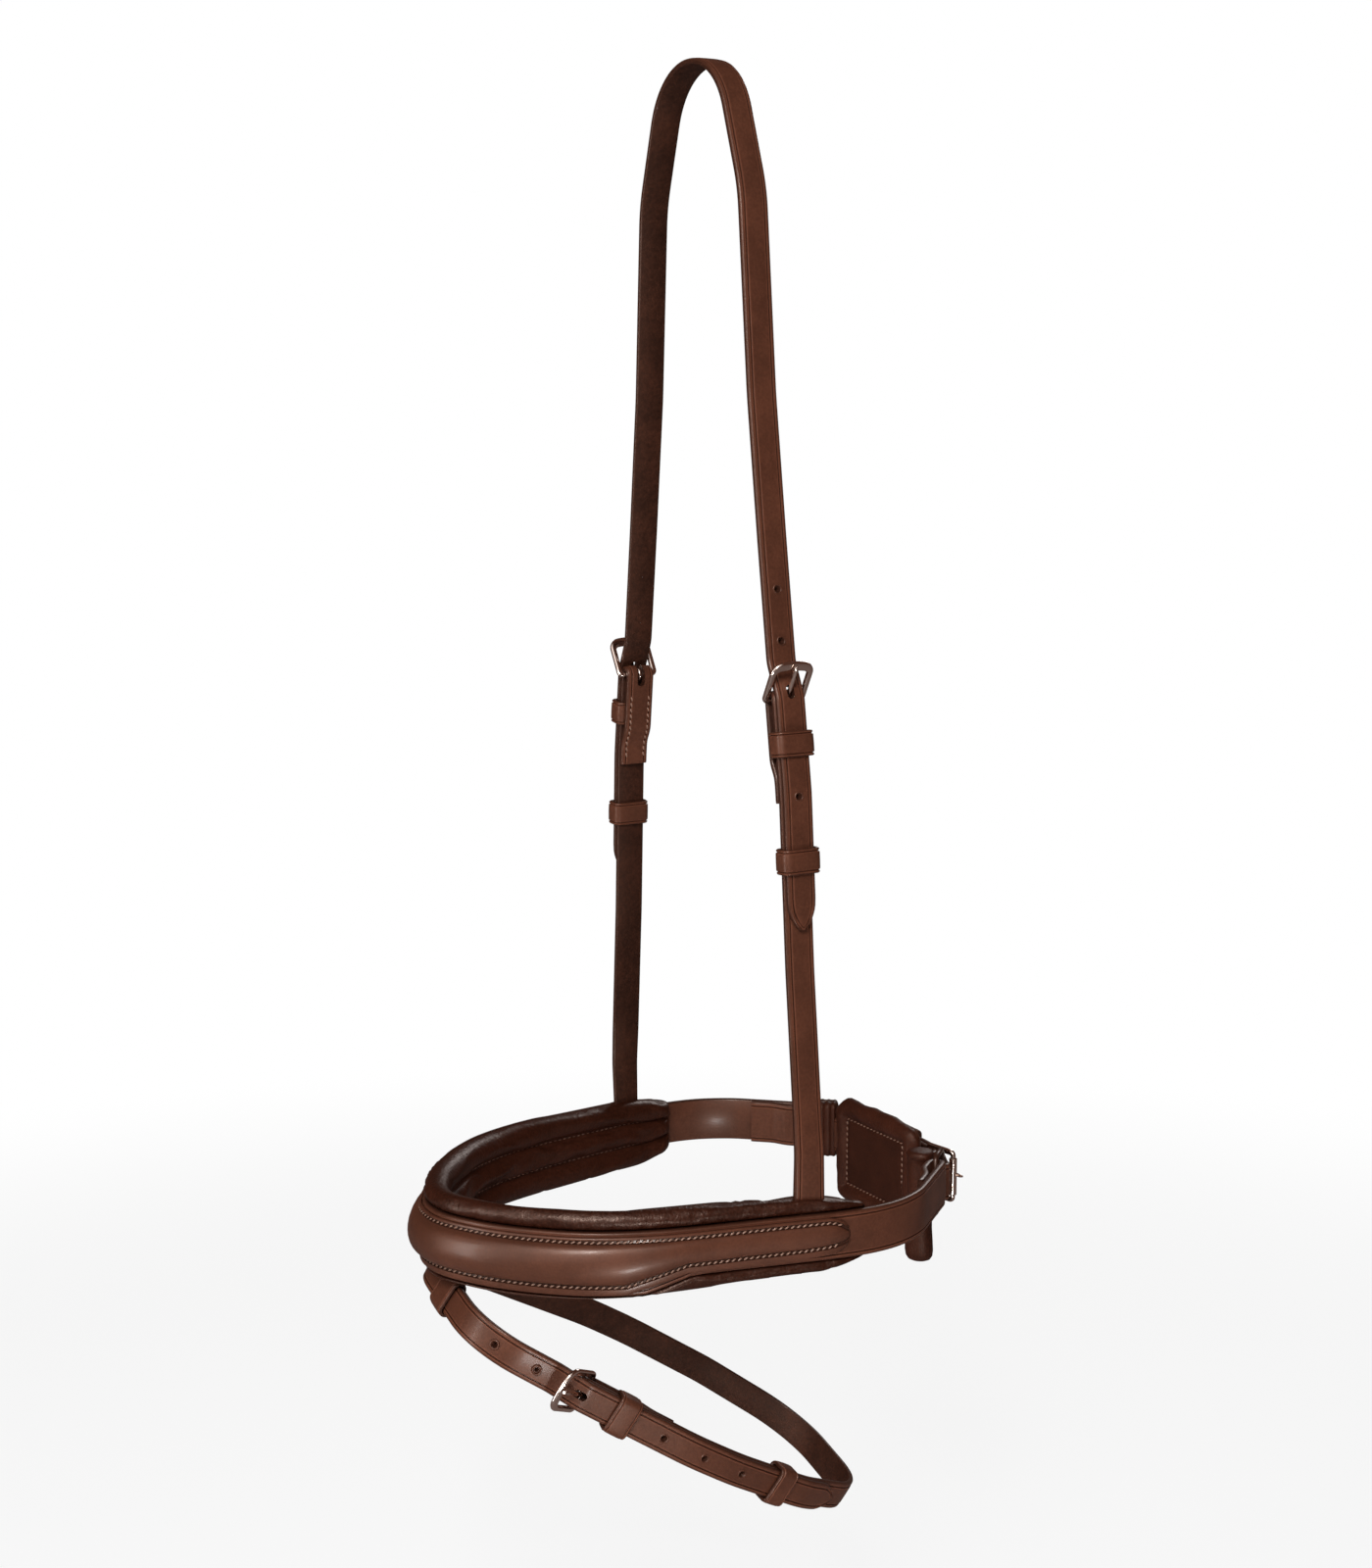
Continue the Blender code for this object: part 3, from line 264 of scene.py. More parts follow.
JAW_CLOSES_AT = 0.0420
JAW_CLOSING = 0.0080
JAW_STEP = 0.0060
JAW_SIDE_HALF = 0.0104
CHIN_TONGUE_RISE = 0.0032
CHIN_TONGUE_PAST = 0.0026
ROLLER_RADIUS = 0.0017
ROLLER_BORE = 0.0012
ROLLER_HALF = 0.0082
CHIN_PAD_HALF = 0.0305
CHIN_PAD_SEAT = 0.0185
CHIN_PAD_INNER = JAW_MIDDLE[1] - CHIN_PAD_SEAT
CHIN_PAD_TOP = -0.4390
CHIN_PAD_BOTTOM = -0.4865
CHIN_PAD_DEEP = 0.0070
CHIN_PAD_FORM = (
    (0.0200, 0.24), (0.0150, 0.22), (0.0110, 0.22), (0.0098, 0.23), (0.0092, 0.28), (0.0086, 0.30),
    (0.0080, 0.26), (0.0070, 0.10), (0.0058, 0.02), (0.0045, 0.0), (0.0032, 0.02), (0.0018, 0.14),
    (0.0007, 0.30), (0.0, 0.52), (0.0004, 0.72), (0.0012, 0.88), (0.0024, 0.97), (0.0040, 1.0),
    (0.0150, 1.0), (0.0200, 1.0),
)
CHIN_PAD_CORNER = 0.0080
CHIN_PANEL_INSET = 0.0094
CHIN_SEAM_INSET = 0.0088
CHIN_SEAM_SHARE = 0.245
CHIN_BACK_SHARE = 0.6
CHIN_LUMPS = 0.0016
CHIN_LUMP_SCALES = (95, 240)
CHIN_LUMPS_END = 0.0095
CHIN_LUMPS_FADE = 0.0040
CHIN_CUFF_DROP = 0.0066
CHIN_CUFF_PROUD = 0.0018
CHIN_CUFF_TOP = -0.4462
CHIN_CUFF_MIDDLE = (0.0367, CHIN_PAD_INNER + 0.0008)
CHIN_CUFF_HALF = (0.0060, 0.0054)
CHIN_CUFF_FORM = (
    (0.000, 0.30), (0.006, 0.62), (0.020, 0.86), (0.050, 1.02), (0.100, 1.08), (0.180, 1.06), (0.300, 0.98),
    (0.450, 0.94), (0.600, 0.95), (0.750, 0.97), (0.880, 0.95), (0.920, 0.90), (0.932, 0.98), (0.950, 1.05),
    (0.972, 1.04), (0.990, 0.94), (1.000, 0.70),
)
CHIN_LOOP_AT = 0.0260
CHIN_LOOP_HALF = 0.0060
CHIN_LOOP_ROOM = 0.0006

# Flash strap: a hoop that droops from the nose, near side low
FLASH_NOSE = (0.0, -0.1158, -0.4844)
FLASH_DROOP = math.radians(31.7)
FLASH_ROLL = math.radians(9.9)
FLASH_INSET = 0.0035
FLASH_CORNERS = (
    (0.0368, 0.0000, 0.0280), (0.0457, 0.0319, 0.0600), (0.0584, 0.1013, 0.0900),
    (0.0584, 0.1245, 0.0900), (0.0512, 0.1662, 0.0500), (0.0308, 0.2127, 0.0340),
)
FLASH_BAR_ALONG = 0.0495
FLASH_SLIDER_AT = 0.1010
FLASH_TIP_REACH = 0.1395
FLASH_STEP = 0.0075
FLASH_CORNER_STEP = 0.0050
FLASH_HOLES = (-2, -1, 1, 2, 3, 4)
FLASH_LOOP_HALF = 0.0065
FLASH_LOOP_THICK = 0.0015
FLASH_LOOP_CORNER = 0.0020

# Camera: place, line of sight, upward direction and focal length in pixels of the 1400 x 1600 frame
CAMERA_AT = (0.8036, -0.4516, -0.1553)
CAMERA_LOOK = (-0.866, 0.480, -0.1416)
CAMERA_UP = (-0.124, 0.069, 0.990)
CAMERA_FOCAL = 2306.3
PHOTO_LONG_SIDE = 1600
SENSOR_WIDTH = 36.0

# Studio: each lamp's place, what it faces, its size and its power
FLOOR_REACH = 6.0
FLOOR_DROP = 0.12
SHADOW_REACH = 0.6
GLOW_SHARE = 0.85
MIRRORED_DARK = (0.085, 0.038, 0.026)
MIRRORED_BRIGHT = (1.10, 1.02, 0.98)
BRIGHT_TOWARDS = (0.50, -0.72, 0.48)
BRIGHT_EDGE = (0.55, 0.85)
SURROUND = 0.15
LAMPS = (
    ("key_lamp", (1.00, -0.90, 0.55), (0.0, -0.02, -0.35), (0.5, 0.5), 10.5),
    ("low_gloss_lamp", (0.46, -0.155, -0.66), (0.042, -0.098, -0.50), (0.05, 0.05), 0.60),
    ("top_lamp", (0.70, -0.50, 0.19), (0.06, -0.08, -0.45), (0.10, 0.30), 3.6),
    ("edge_lamp", (0.0, -1.25, -0.35), (0.0, -0.02, -0.35), (0.14, 0.9), 5.0),
    ("back_lamp", (-0.90, 1.10, 0.40), (0.0, 0.0, -0.38), (0.5, 0.5), 4.0),
)

GRAIN, EDGE, FLESH = 0, 1, 2
GLOSS_TINT = (1.0, 0.74, 0.62)

# A strap's section: the bevel of its lip as (inward, down), its creased line as (from the crease, down, 1 in
# the groove), the rounded lower edge as (inward, up) and the edge's flat as shares of half the thickness
LIP_BEVEL = ((0.00014, 0.00055), (0.00050, 0.00026), (0.00095, 0.00017))
CREASE_GROOVE = (
    (-0.00034, 0.00017, 0), (-0.00008, 0.00017, 1), (0.00012, 0.00017, 1), (0.00042, 0.00004, 0),
    (0.00100, 0.0, 0),
)
LOWER_EDGE = ((0.00018, 0.00018), (0.00055, 0.0))
EDGE_FLAT = (0.25, -0.65)
FACE_CROWN = 0.00004
STRAP_END_SHARE = 0.72
TIP_POINT = 2.4
TIP_SHARES = (0, 0.03, 0.08, 0.15, 0.22, 0.33, 0.45, 0.6, 0.75, 1.0)
KEEPER_SHRINK = 0.62
SPOT_STEP = 0.0070
SHARP = 40
METAL_SHARP = 60
ALL_SMOOTH = 180

# A punched hole's rim as (share of the radius outward, above the face), and the facets of round cuts and bars
RIM = ((-0.34, -0.0003), (-0.26, 0.0001), (-0.10, 0.00022), (0.06, 0.0001), (0.16, -0.0003))
RIM_STEPS = 24
CUT_STEPS = 20
BAR_STEPS = 20
BAR_SQUARENESS = 0.72
ROLLER_STEPS = 32
CUFF_STEPS = 40
CUFF_CREASE = 0.03
CUFF_CREASES_ROUND = 3
CUFF_CREASES_TURN = 9

# Stitches: where the rows on a turned-back end start, stop and run
STITCH_SLANT = 0.35
ROW_INSET = 0.0021
ROW_START = 0.0075
ROW_STOP = 0.0030


def length(name, description, default):
    return bpy.props.FloatProperty(name=name, description=description, default=default, unit="LENGTH")


def colour(name, description, default):
    return bpy.props.FloatVectorProperty(name=name, description=description, default=default, subtype="COLOR")


class NosebandSizes(bpy.types.PropertyGroup):
    """Sizes of the leatherwork that a user would change"""

    strap_width: length("Strap width", "Width of the cheek, head and flash straps", 0.0125)
    strap_thick: length("Strap thickness", "Thickness of every strap but the base strap", 0.0025)
    crease_inset: length("Crease inset", "From a strap's edge to its creased line", 0.0019)
    crease_depth: length("Crease depth", "Depth of the creased line", 0.00040)
    hole_radius: length("Hole radius", "Radius of the punched holes", 0.0019)
    stitch_pitch: length("Stitch pitch", "From one stitch to the next", 0.0026)
    stitch_length: length("Stitch length", "Length of thread that shows in one stitch", 0.0022)
    stitch_radius: length("Thread radius", "Half the thread's thickness", 0.00041)


class NosebandColours(bpy.types.PropertyGroup):
    """Colours of the leathers, thread and metal"""

    grain: colour("Bridle leather", "Outer side of the straps", (0.094, 0.031, 0.0165))
    grain_dark: colour("Bridle leather, shaded", "Creases and pores", (0.026, 0.008, 0.004))
    edge: colour("Burnished edge", "Waxed edges of the straps", (0.034, 0.012, 0.007))
    flesh: colour("Flesh side", "Inner side of the straps", (0.033, 0.010, 0.005))
    lining: colour("Nappa lining", "Soft leather of the pads", (0.022, 0.0050, 0.0020))
    thread: colour("Thread", "Waxed thread of the seams", (0.240, 0.128, 0.088))
    metal: colour("Buckle metal", "Polished nickel of the buckles", (0.84, 0.72, 0.65))
    floor: colour("Floor", "Plain pale floor", (0.92, 0.92, 0.92))


# Shader building


class Value:
    """A number on its way through a node tree: Python's operators add the Math nodes."""

    def __init__(self, nodes, socket):
        self.nodes = nodes
        self.socket = socket

    def math(self, operation, first, second=None):
        inputs = [first] if second is None else [first, second]
        node = self.nodes.node("ShaderNodeMath", {"operation": operation}, dict(enumerate(inputs)))
        return Value(self.nodes, node.outputs[0])

    def __add__(self, other):
        return self.math("ADD", self, other)

    __radd__ = __add__

    def __sub__(self, other):
        return self.math("SUBTRACT", self, other)

    def __rsub__(self, other):
        return self.math("SUBTRACT", other, self)

    def __mul__(self, other):
        return self.math("MULTIPLY", self, other)

    __rmul__ = __mul__

    def __abs__(self):
        return self.math("ABSOLUTE", self)

    def above(self, low, high):
        """0 below low, 1 above high and smooth between."""
        limits = {0: self, 1: low, 2: high, 3: 0.0, 4: 1.0}
        node = self.nodes.node("ShaderNodeMapRange", {"interpolation_type": "SMOOTHSTEP"}, limits)
        return Value(self.nodes, node.outputs[0])


class Nodes:
    """A node tree under construction."""

    def __init__(self, tree):
        self.tree = tree

    def node(self, kind, settings=None, inputs=None):
        """Add a node: its settings first, then the values or links of its sockets."""
        made = self.tree.nodes.new(kind)
        for key, value in (settings or {}).items():
            setattr(made, key, value)
        for key, value in (inputs or {}).items():
            self.feed(made.inputs[key], value)
        return made

    def feed(self, socket, value):
        value = value.socket if isinstance(value, Value) else value
        if isinstance(value, bpy.types.NodeSocket):
            self.tree.links.new(value, socket)
        elif socket.type == "RGBA" and len(value) == 3:
            socket.default_value = (*value, 1.0)
        else:
            socket.default_value = value

    def mixed(self, factor, first, second):
        """A colour between two, by a factor."""
        return self.node("ShaderNodeMix", {"data_type": "RGBA"}, {0: factor, 6: first, 7: second}).outputs[2]


class Finish(Nodes):
    """A material under construction."""

    def __init__(self, name):
        self.material = bpy.data.materials.new(name)
        self.material.use_nodes = True
        super().__init__(self.material.node_tree)
        self.shader = self.tree.nodes["Principled BSDF"]
        self.coordinates = self.node("ShaderNodeTexCoord")

    def placed(self, scale=(1, 1, 1)):
        """The piece's own coordinates in metres, stretched where a pattern runs one way."""
        inputs = {0: self.coordinates.outputs["Object"], 3: scale}
        return self.node("ShaderNodeMapping", None, inputs).outputs[0]

    def noise(self, scale, detail=2.0, roughness=0.5, stretch=(1, 1, 1), distortion=0.0):
        inputs = {
            "Vector": self.placed(stretch), "Scale": scale, "Detail": detail, "Roughness": roughness,
            "Distortion": distortion,
        }
        return Value(self, self.node("ShaderNodeTexNoise", None, inputs).outputs["Fac"])

    def cells(self, scale, feature="F1"):
        inputs = {"Vector": self.placed(), "Scale": scale}
        node = self.node("ShaderNodeTexVoronoi", {"feature": feature}, inputs)
        return Value(self, node.outputs["Distance"])

    def toned(self, factor, name, low, high):
        """A colour between two shares of one of the panel's colours."""
        return self.mixed(factor, shade(name, low), shade(name, high))

    def across(self):
        """The distance from the nearer edge of a strap, from its own map, in millimetres."""
        uv = self.node("ShaderNodeUVMap", {"uv_map": "strap"})
        return Value(self, self.node("ShaderNodeSeparateXYZ", None, {0: uv.outputs[0]}).outputs[1])

    def bumps(self, *layers):
        """Stack (height, depth in metres, strength) layers into one normal."""
        inputs = {}
        for height, depth, strength in layers:
            inputs.update({"Strength": strength, "Distance": depth, "Height": height})
            inputs["Normal"] = self.node("ShaderNodeBump", None, inputs).outputs[0]
        return inputs["Normal"]

    def done(self, base, roughness, normal=None, **constants):
        self.feed(self.shader.inputs["Base Color"], base)
        self.feed(self.shader.inputs["Roughness"], roughness)
        if normal is not None:
            self.feed(self.shader.inputs["Normal"], normal)
        for key, value in constants.items():
            self.feed(self.shader.inputs[key.replace("_", " ")], value)
        return self.material

    def leather(self, base, roughness, normal, specular, coat=0.0, coat_roughness=0.03):
        """Leather's wax gives its gloss a warm tint."""
        self.feed(self.shader.inputs["Specular IOR Level"], specular)
        return self.done(
            base, roughness, normal, Specular_Tint=GLOSS_TINT, Coat_Weight=coat, Coat_Roughness=coat_roughness
        )


def colours():
    return bpy.context.scene.noseband_colours


def sizes():
    return bpy.context.scene.noseband_sizes


def shade(name, share=1.0):
    """A share of one of the panel's colours."""
    return tuple(channel * share for channel in tuple(getattr(colours(), name))[:3])


def bridle_grain():
    """Waxed bridle leather's outer side: fine pores, faint mottling, darker in the creased lines, with a
    painted highlight along both sides of each.
    """
    leather = Finish("bridle_grain")
    mottle = leather.noise(55, 3, 0.6)
    speck = leather.noise(900, 2, 0.6)
    pores = leather.cells(1500)
    patches = (mottle * 0.7 + speck * 0.5 - 0.1).above(0.3, 0.8)
    base = leather.toned(patches, "grain", 0.72, 1.25)
    inset = leather.across()
    crease = sizes().crease_inset * 1000
    # Painted highlight: a lighter band along both sides of the creased line, standing in for the gloss that
    # the ridges catch
    painted_ridge_highlight = 1 - abs(abs(inset - crease) - 0.55).above(0.08, 0.34)
    base = leather.mixed(painted_ridge_highlight * 0.55, base, shade("grain", 1.9))
    line = 1 - abs(inset - crease).above(0.12, 0.40)
    base = leather.mixed(line * 0.85, base, shade("grain_dark"))
    rim = 1 - inset.above(0.25, 0.75)
    base = leather.mixed(rim * 0.5, base, shade("edge"))
    roughness = 0.34 + speck * 0.14 - rim * 0.10
    swell = leather.noise(240, 2)
    normal = leather.bumps((pores, 0.00008, 0.35), (speck, 0.00010, 0.30), (swell, 0.00025, 0.12))
    return leather.leather(base, roughness, normal, 0.38, 0.08, 0.18)


def raised_leather():
    """The smooth, closely stretched leather of the raised cover."""
    leather = Finish("raised_leather")
    mottle = leather.noise(45, 3, 0.6)
    speck = leather.noise(1000, 2, 0.6)
    patches = (mottle * 0.8 + speck * 0.4 - 0.1).above(0.3, 0.8)
    base = leather.toned(patches, "grain", 0.66, 1.10)
    pores, swell = leather.cells(1700), leather.noise(160, 2)
    normal = leather.bumps((pores, 0.00006, 0.30), (speck, 0.00008, 0.30), (swell, 0.0003, 0.10))
    return leather.leather(base, 0.33 + speck * 0.12, normal, 0.45, 0.15, 0.2)


def burnished_edge():
    """Waxed and rubbed cut edges; on the raised cover the same finish is painted shade in the sewn groove."""
    leather = Finish("burnished_edge")
    fibre = leather.noise(700, 3, 0.7)
    base = leather.toned(fibre, "edge", 0.75, 1.5)
    normal = leather.bumps((fibre, 0.00010, 0.35))
    return leather.leather(base, 0.22 + fibre * 0.20, normal, 0.45, 0.15, 0.15)


def flesh_side():
    """The inner side of the straps: short fibres pressed flat with wax."""
    leather = Finish("flesh_side")
    mottle = leather.noise(70, 4, 0.65)
    fibre = leather.noise(620, 4, 0.75, distortion=0.4)
    patches = (mottle * 0.6 + fibre * 0.7 - 0.2).above(0.25, 0.75)
    base = leather.toned(patches, "flesh", 0.62, 1.75)
    normal = leather.bumps((fibre, 0.00028, 0.55), (leather.noise(1700, 2), 0.00010, 0.30))
    return leather.leather(base, 0.46 + fibre * 0.22, normal, 0.3)


def nappa():
    """Soft lining leather: rounded grain and fine wrinkles across the rolls."""
    leather = Finish("nappa_lining")
    mottle = leather.noise(60, 3, 0.6)
    wrinkle = leather.noise(430, 3, 0.6, stretch=(1.0, 1.0, 0.30), distortion=0.6)
    grain = leather.cells(1150, "SMOOTH_F1")
    base = leather.toned((mottle * 0.6 + grain * 0.6).above(0.25, 0.85), "lining", 0.75, 1.7)
    fine = leather.noise(2400, 2)
    normal = leather.bumps((wrinkle, 0.00050, 0.50), (grain, 0.00016, 0.50), (fine, 0.00006, 0.3))
    return leather.leather(base, 0.30 + grain * 0.18, normal, 0.5)


def chin_leather():
    """The chin pad's softer, slightly lighter nappa."""
    leather = Finish("chin_leather")
    cloud = leather.noise(75, 3, 0.6)
    grain = leather.cells(1300, "SMOOTH_F1")
    base = leather.toned((cloud * 0.8 + grain * 0.5).above(0.3, 0.85), "lining", 1.2, 2.3)
    normal = leather.bumps((leather.noise(330, 3, 0.6), 0.0006, 0.4), (grain, 0.00018, 0.55))
    return leather.leather(base, 0.42 + grain * 0.20, normal, 0.35)


def suede():
    """The flat panel of the chin pad, a napped leather."""
    leather = Finish("suede_panel")
    nap = leather.noise(1300, 4, 0.75)
    cloud = leather.noise(90, 3, 0.6)
    base = leather.toned((nap * 0.6 + cloud * 0.6 - 0.1).above(0.25, 0.8), "lining", 1.0, 2.0)
    return leather.leather(base, 0.82, leather.bumps((nap, 0.00022, 0.6)), 0.2)


def waxed_thread():
    """Twisted thread, a shade lighter than the leather, with a waxy glint."""
    thread = Finish("waxed_thread")
    fibre = thread.noise(2600, 2, 0.6)
    base = thread.toned(fibre, "thread", 0.7, 1.35)
    return thread.done(base, 0.36, thread.bumps((fibre, 0.00008, 0.5)), Coat_Weight=0.2, Coat_Roughness=0.2)


def polished_nickel():
    """Bright plated metal with faint rubbed marks."""
    metal = Finish("polished_nickel")
    rub = metal.noise(500, 3, 0.6)
    base = metal.toned(metal.noise(140, 2, 0.5), "metal", 0.90, 1.0)
    normal = metal.bumps((metal.noise(300, 2), 0.00002, 0.10))
    return metal.done(base, 0.09 + rub * 0.07, normal, Metallic=1.0)


FINISHES = {
    "grain": bridle_grain, "raised": raised_leather, "edge": burnished_edge, "flesh": flesh_side,
    "nappa": nappa, "chin": chin_leather, "suede": suede, "thread": waxed_thread, "nickel": polished_nickel,
}
MADE = {}


def finish_named(name):
    """The material of that name, made the first time it is asked for."""
    if name not in MADE:
        MADE[name] = FINISHES[name]()
    return MADE[name]


# Lines and frames


def filleted(corners):
    """Points along a polygon whose inner corners are rounded. Corners are (a, b, radius), ends (a, b)."""
    spots = [np.array(corner[:2]) for corner in corners]
    line = [spots[0]]
    for before, here, after, corner in zip(spots, spots[1:], spots[2:], corners[1:]):
        into = (here - before) / np.linalg.norm(here - before)
        out = (after - here) / np.linalg.norm(after - here)
        turn = math.atan2(into[0] * out[1] - into[1] * out[0], into @ out)
        radius = corner[2]
        reach = radius * math.tan(abs(turn) / 2)
        side = math.copysign(1, turn) * np.array([-into[1], into[0]])
        centre = here - into * reach + side * radius
        for share in np.linspace(0, 1, max(2, math.ceil(radius * abs(turn) / FINE_STEP))):
            angle = share * abs(turn)
            line.append(centre - side * radius * math.cos(angle) + into * radius * math.sin(angle))
    line.append(spots[-1])
    return np.array(line)


def smoothed(points):
    """A Catmull-Rom line through the points."""
    points = np.asarray(points)
    ends = np.concatenate([[2 * points[0] - points[1]], points, [2 * points[-1] - points[-2]]])
    line = []
    for p0, p1, p2, p3 in zip(ends, ends[1:], ends[2:], ends[3:]):
        for t in np.arange(0, 1, 0.05):
            line.append(
                (2 * p1 + (p2 - p0) * t + (2 * p0 - 5 * p1 + 4 * p2 - p3) * t**2
                 + (3 * p1 - p0 - 3 * p2 + p3) * t**3) / 2
            )
    line.append(points[-1])
    return np.array(line)


def distances(line):
    """The distance of each point from the line's start, along it."""
    return np.concatenate([[0], np.cumsum(np.linalg.norm(np.diff(line, axis=0), axis=1))])


def between(s, along, rows):
    """The row at a distance, interpolated column by column."""
    return np.array([np.interp(s, along, column) for column in rows.T])


def arc(middle, radius, degrees, sense=1):
    """Points of a circle's arc at the angles, mirrored where the sense is -1."""
    x, y = middle
    turns = [math.radians(angle) for angle in degrees]
    return [(x + sense * radius * math.cos(turn), y + radius * math.sin(turn)) for turn in turns]


def blend(first, second, share):
    return tuple(a + (b - a) * share for a, b in zip(first, second))


def at(placed, *local):
    """The world point of a frame's own coordinates."""
    return (placed @ np.array([*local, 1.0]))[:3]


def clamped(value):
    return min(max(value, 0), 1)


def grown(least, full):
    """From the least share where full is 0 to 1 where it is 1."""
    return least + (1 - least) * full


class Run:
    """A planar line: distance along it, outward offset from it and a lateral axis across it."""

    def __init__(self, plane, line, inset=0.0):
        along = distances(line)
        self.length = along[-1]
        self.along = np.linspace(0, self.length, math.ceil(self.length / FINE_STEP))
        self.line = between(self.along, along, line).T
        self.tangents = np.gradient(self.line, self.along, axis=0)
        self.plane = plane
        self.inset = inset

    def flat(self, s, n):
        """The point of the run's plane at distance s, n outward of the line."""
        inside = min(max(s, 0), self.length)
        point, tangent = (between(inside, self.along, rows) for rows in (self.line, self.tangents))
        tangent /= np.linalg.norm(tangent)
        outward = np.array([tangent[1], -tangent[0]])
        return point + tangent * (s - inside) + outward * (n - self.inset), tangent, outward

    def lift(self, flat, lateral):
        """The world point of a point of the plane, moved along the lateral axis."""
        return self.aimed(flat, lateral) + self.plane[:3, 3]

    def aimed(self, direction, lateral=0.0):
        """The world direction of a direction of the plane."""
        return self.plane[:3, :3] @ np.array([*direction, lateral])

    def outward(self, s):
        return self.aimed(self.flat(s, 0)[2])

    def point(self, s, n, lateral=0.0):
        return self.lift(self.flat(s, n)[0], lateral)

    def matrix(self, s, n, sense=1):
        """A frame at the place: x along the run in the given sense, z outward, y across."""
        _, tangent, outward = self.flat(s, n)
        x, z = self.aimed(tangent * sense), self.aimed(outward)
        placed = np.eye(4)
        placed[:3, 0], placed[:3, 1], placed[:3, 2] = x, np.cross(z, x), z
        placed[:3, 3] = self.point(s, n)
        return placed

    def distance_at(self, column, value):
        """The first distance where the line crosses a value of one coordinate."""
        crossing = np.nonzero(np.diff(np.sign(self.line[:, column] - value)))[0][0]
        return self.along[crossing]


def plane_of(origin, across, along):
    """A plane's frame: its two axes, the lateral axis square to both, and its origin."""
    plane = np.eye(4)
    plane[:3, 0] = across
    plane[:3, 1] = along
    plane[:3, 2] = np.cross(across, along)
    plane[:3, 3] = origin
    return plane


def table(pairs, reach):
    return float(np.interp(abs(reach), [pair[0] for pair in pairs], [pair[1] for pair in pairs]))


def eased(reach, limit, length):
    """1 along the middle, falling in a quarter circle to 0 at the limit."""
    return math.sqrt(1 - (1 - clamped((limit - abs(reach)) / length)) ** 2)


def spread(start, end, longest):
    """Evenly spaced values from start to end, both counted, no further apart than the longest step."""
    return list(np.linspace(start, end, max(2, math.ceil(abs(end - start) / longest) + 1)))


def translated(x, y, z):
    moved = np.eye(4)
    moved[:3, 3] = (x, y, z)
    return moved


def head_run():
    lean = np.array([0, -HEAD_LEAN_SHARE, 1]) / math.hypot(1, HEAD_LEAN_SHARE)
    near = [SEAM_END, SEAM_BEND, JAW_END, LOWER_CHEEK, MID_CHEEK, UPPER_CHEEK, BROW, TEMPLE]
    corners = near + [(CROWN_HALF, 0.0, CROWN_RADIUS)]
    far = [(-corner[0], *corner[1:]) for corner in reversed(corners)]
    return Run(plane_of((0, 0, 0), (1, 0, 0), lean), filleted(corners + far), BILLET_LINE)


def ring_run():
    near = list(RING_PLAN)
    far = [(-x, y) for x, y in reversed(near[1:])]
    return Run(plane_of((0, 0, 0), (1, 0, 0), (0, 1, 0)), smoothed(far + near))


def jaw_run():
    line = filleted([JAW_FAR, JAW_MIDDLE, JAW_NEAR])[::-1]
    return Run(plane_of((0, 0, JAW_HEIGHT), (1, 0, 0), (0, 1, 0)), line)


def flash_run():
    down, back = math.sin(FLASH_DROOP), math.cos(FLASH_DROOP)
    along = np.array([0, back, -down])
    square_up = np.cross((1, 0, 0), along)
    across = math.cos(FLASH_ROLL) * np.array([1, 0, 0]) - math.sin(FLASH_ROLL) * square_up
    near = [(0.0, 0.0), *FLASH_CORNERS]
    far = [(-a, b, radius) for a, b, radius in reversed(FLASH_CORNERS)]
    return Run(plane_of(FLASH_NOSE, across, along), filleted(near + far + [(0.0, 0.0)]), FLASH_INSET)


def frame_turned(placed, angle):
    return placed @ np.array(Matrix.Rotation(-angle, 4, "Y"))


def kit_levels():
    """Heights of the strap's own layer and of the billet over it, above the run's line."""
    thick = sizes().strap_thick
    main_level = BAR_RADIUS + GAP + thick / 2
    return main_level, main_level + thick + GAP


def layer_limits(low_layer, high_layer):
    """The inner faces of a band round the layers whose centre lines are given."""
    thick = sizes().strap_thick
    return low_layer - thick / 2 - GAP, high_layer + thick / 2 + GAP


# Meshes


def linked(name, data):
    obj = bpy.data.objects.new(name, data)
    bpy.context.scene.collection.objects.link(obj)
    return obj


def closed_mesh(bm, name):
    bmesh.ops.recalc_face_normals(bm, faces=bm.faces)
    mesh = bpy.data.meshes.new(name)
    bm.to_mesh(mesh)
    bm.free()
    return mesh


def evaluated_mesh(obj):
    """The object's mesh as its modifiers or its curve's settings make it."""
    bpy.context.view_layer.update()
    graph = bpy.context.evaluated_depsgraph_get()
    seen = obj.evaluated_get(graph)
    return bpy.data.meshes.new_from_object(seen, preserve_all_data_layers=True, depsgraph=graph)


def shown(name, bm, materials, body, replaced=(), slot="bridle_leather", sharp=SHARP):
    """Make the object, give it its materials and seat it on its body."""
    mesh = closed_mesh(bm, name)
    obj = linked(name, mesh)
    for material in materials:
        mesh.materials.append(finish_named(material))
    mesh.shade_smooth()
    mesh.set_sharp_from_angle(angle=math.radians(sharp))
    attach(obj, body)
    if replaced:
        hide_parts(*replaced)
    return obj


def grid_piece(name, rows, *looks, sharp=SHARP, **grid):
    """A piece that is one grid of points."""
    bm = bmesh.new()
    laid_grid(bm, rows, **grid)
    return shown(name, bm, *looks, sharp=sharp)


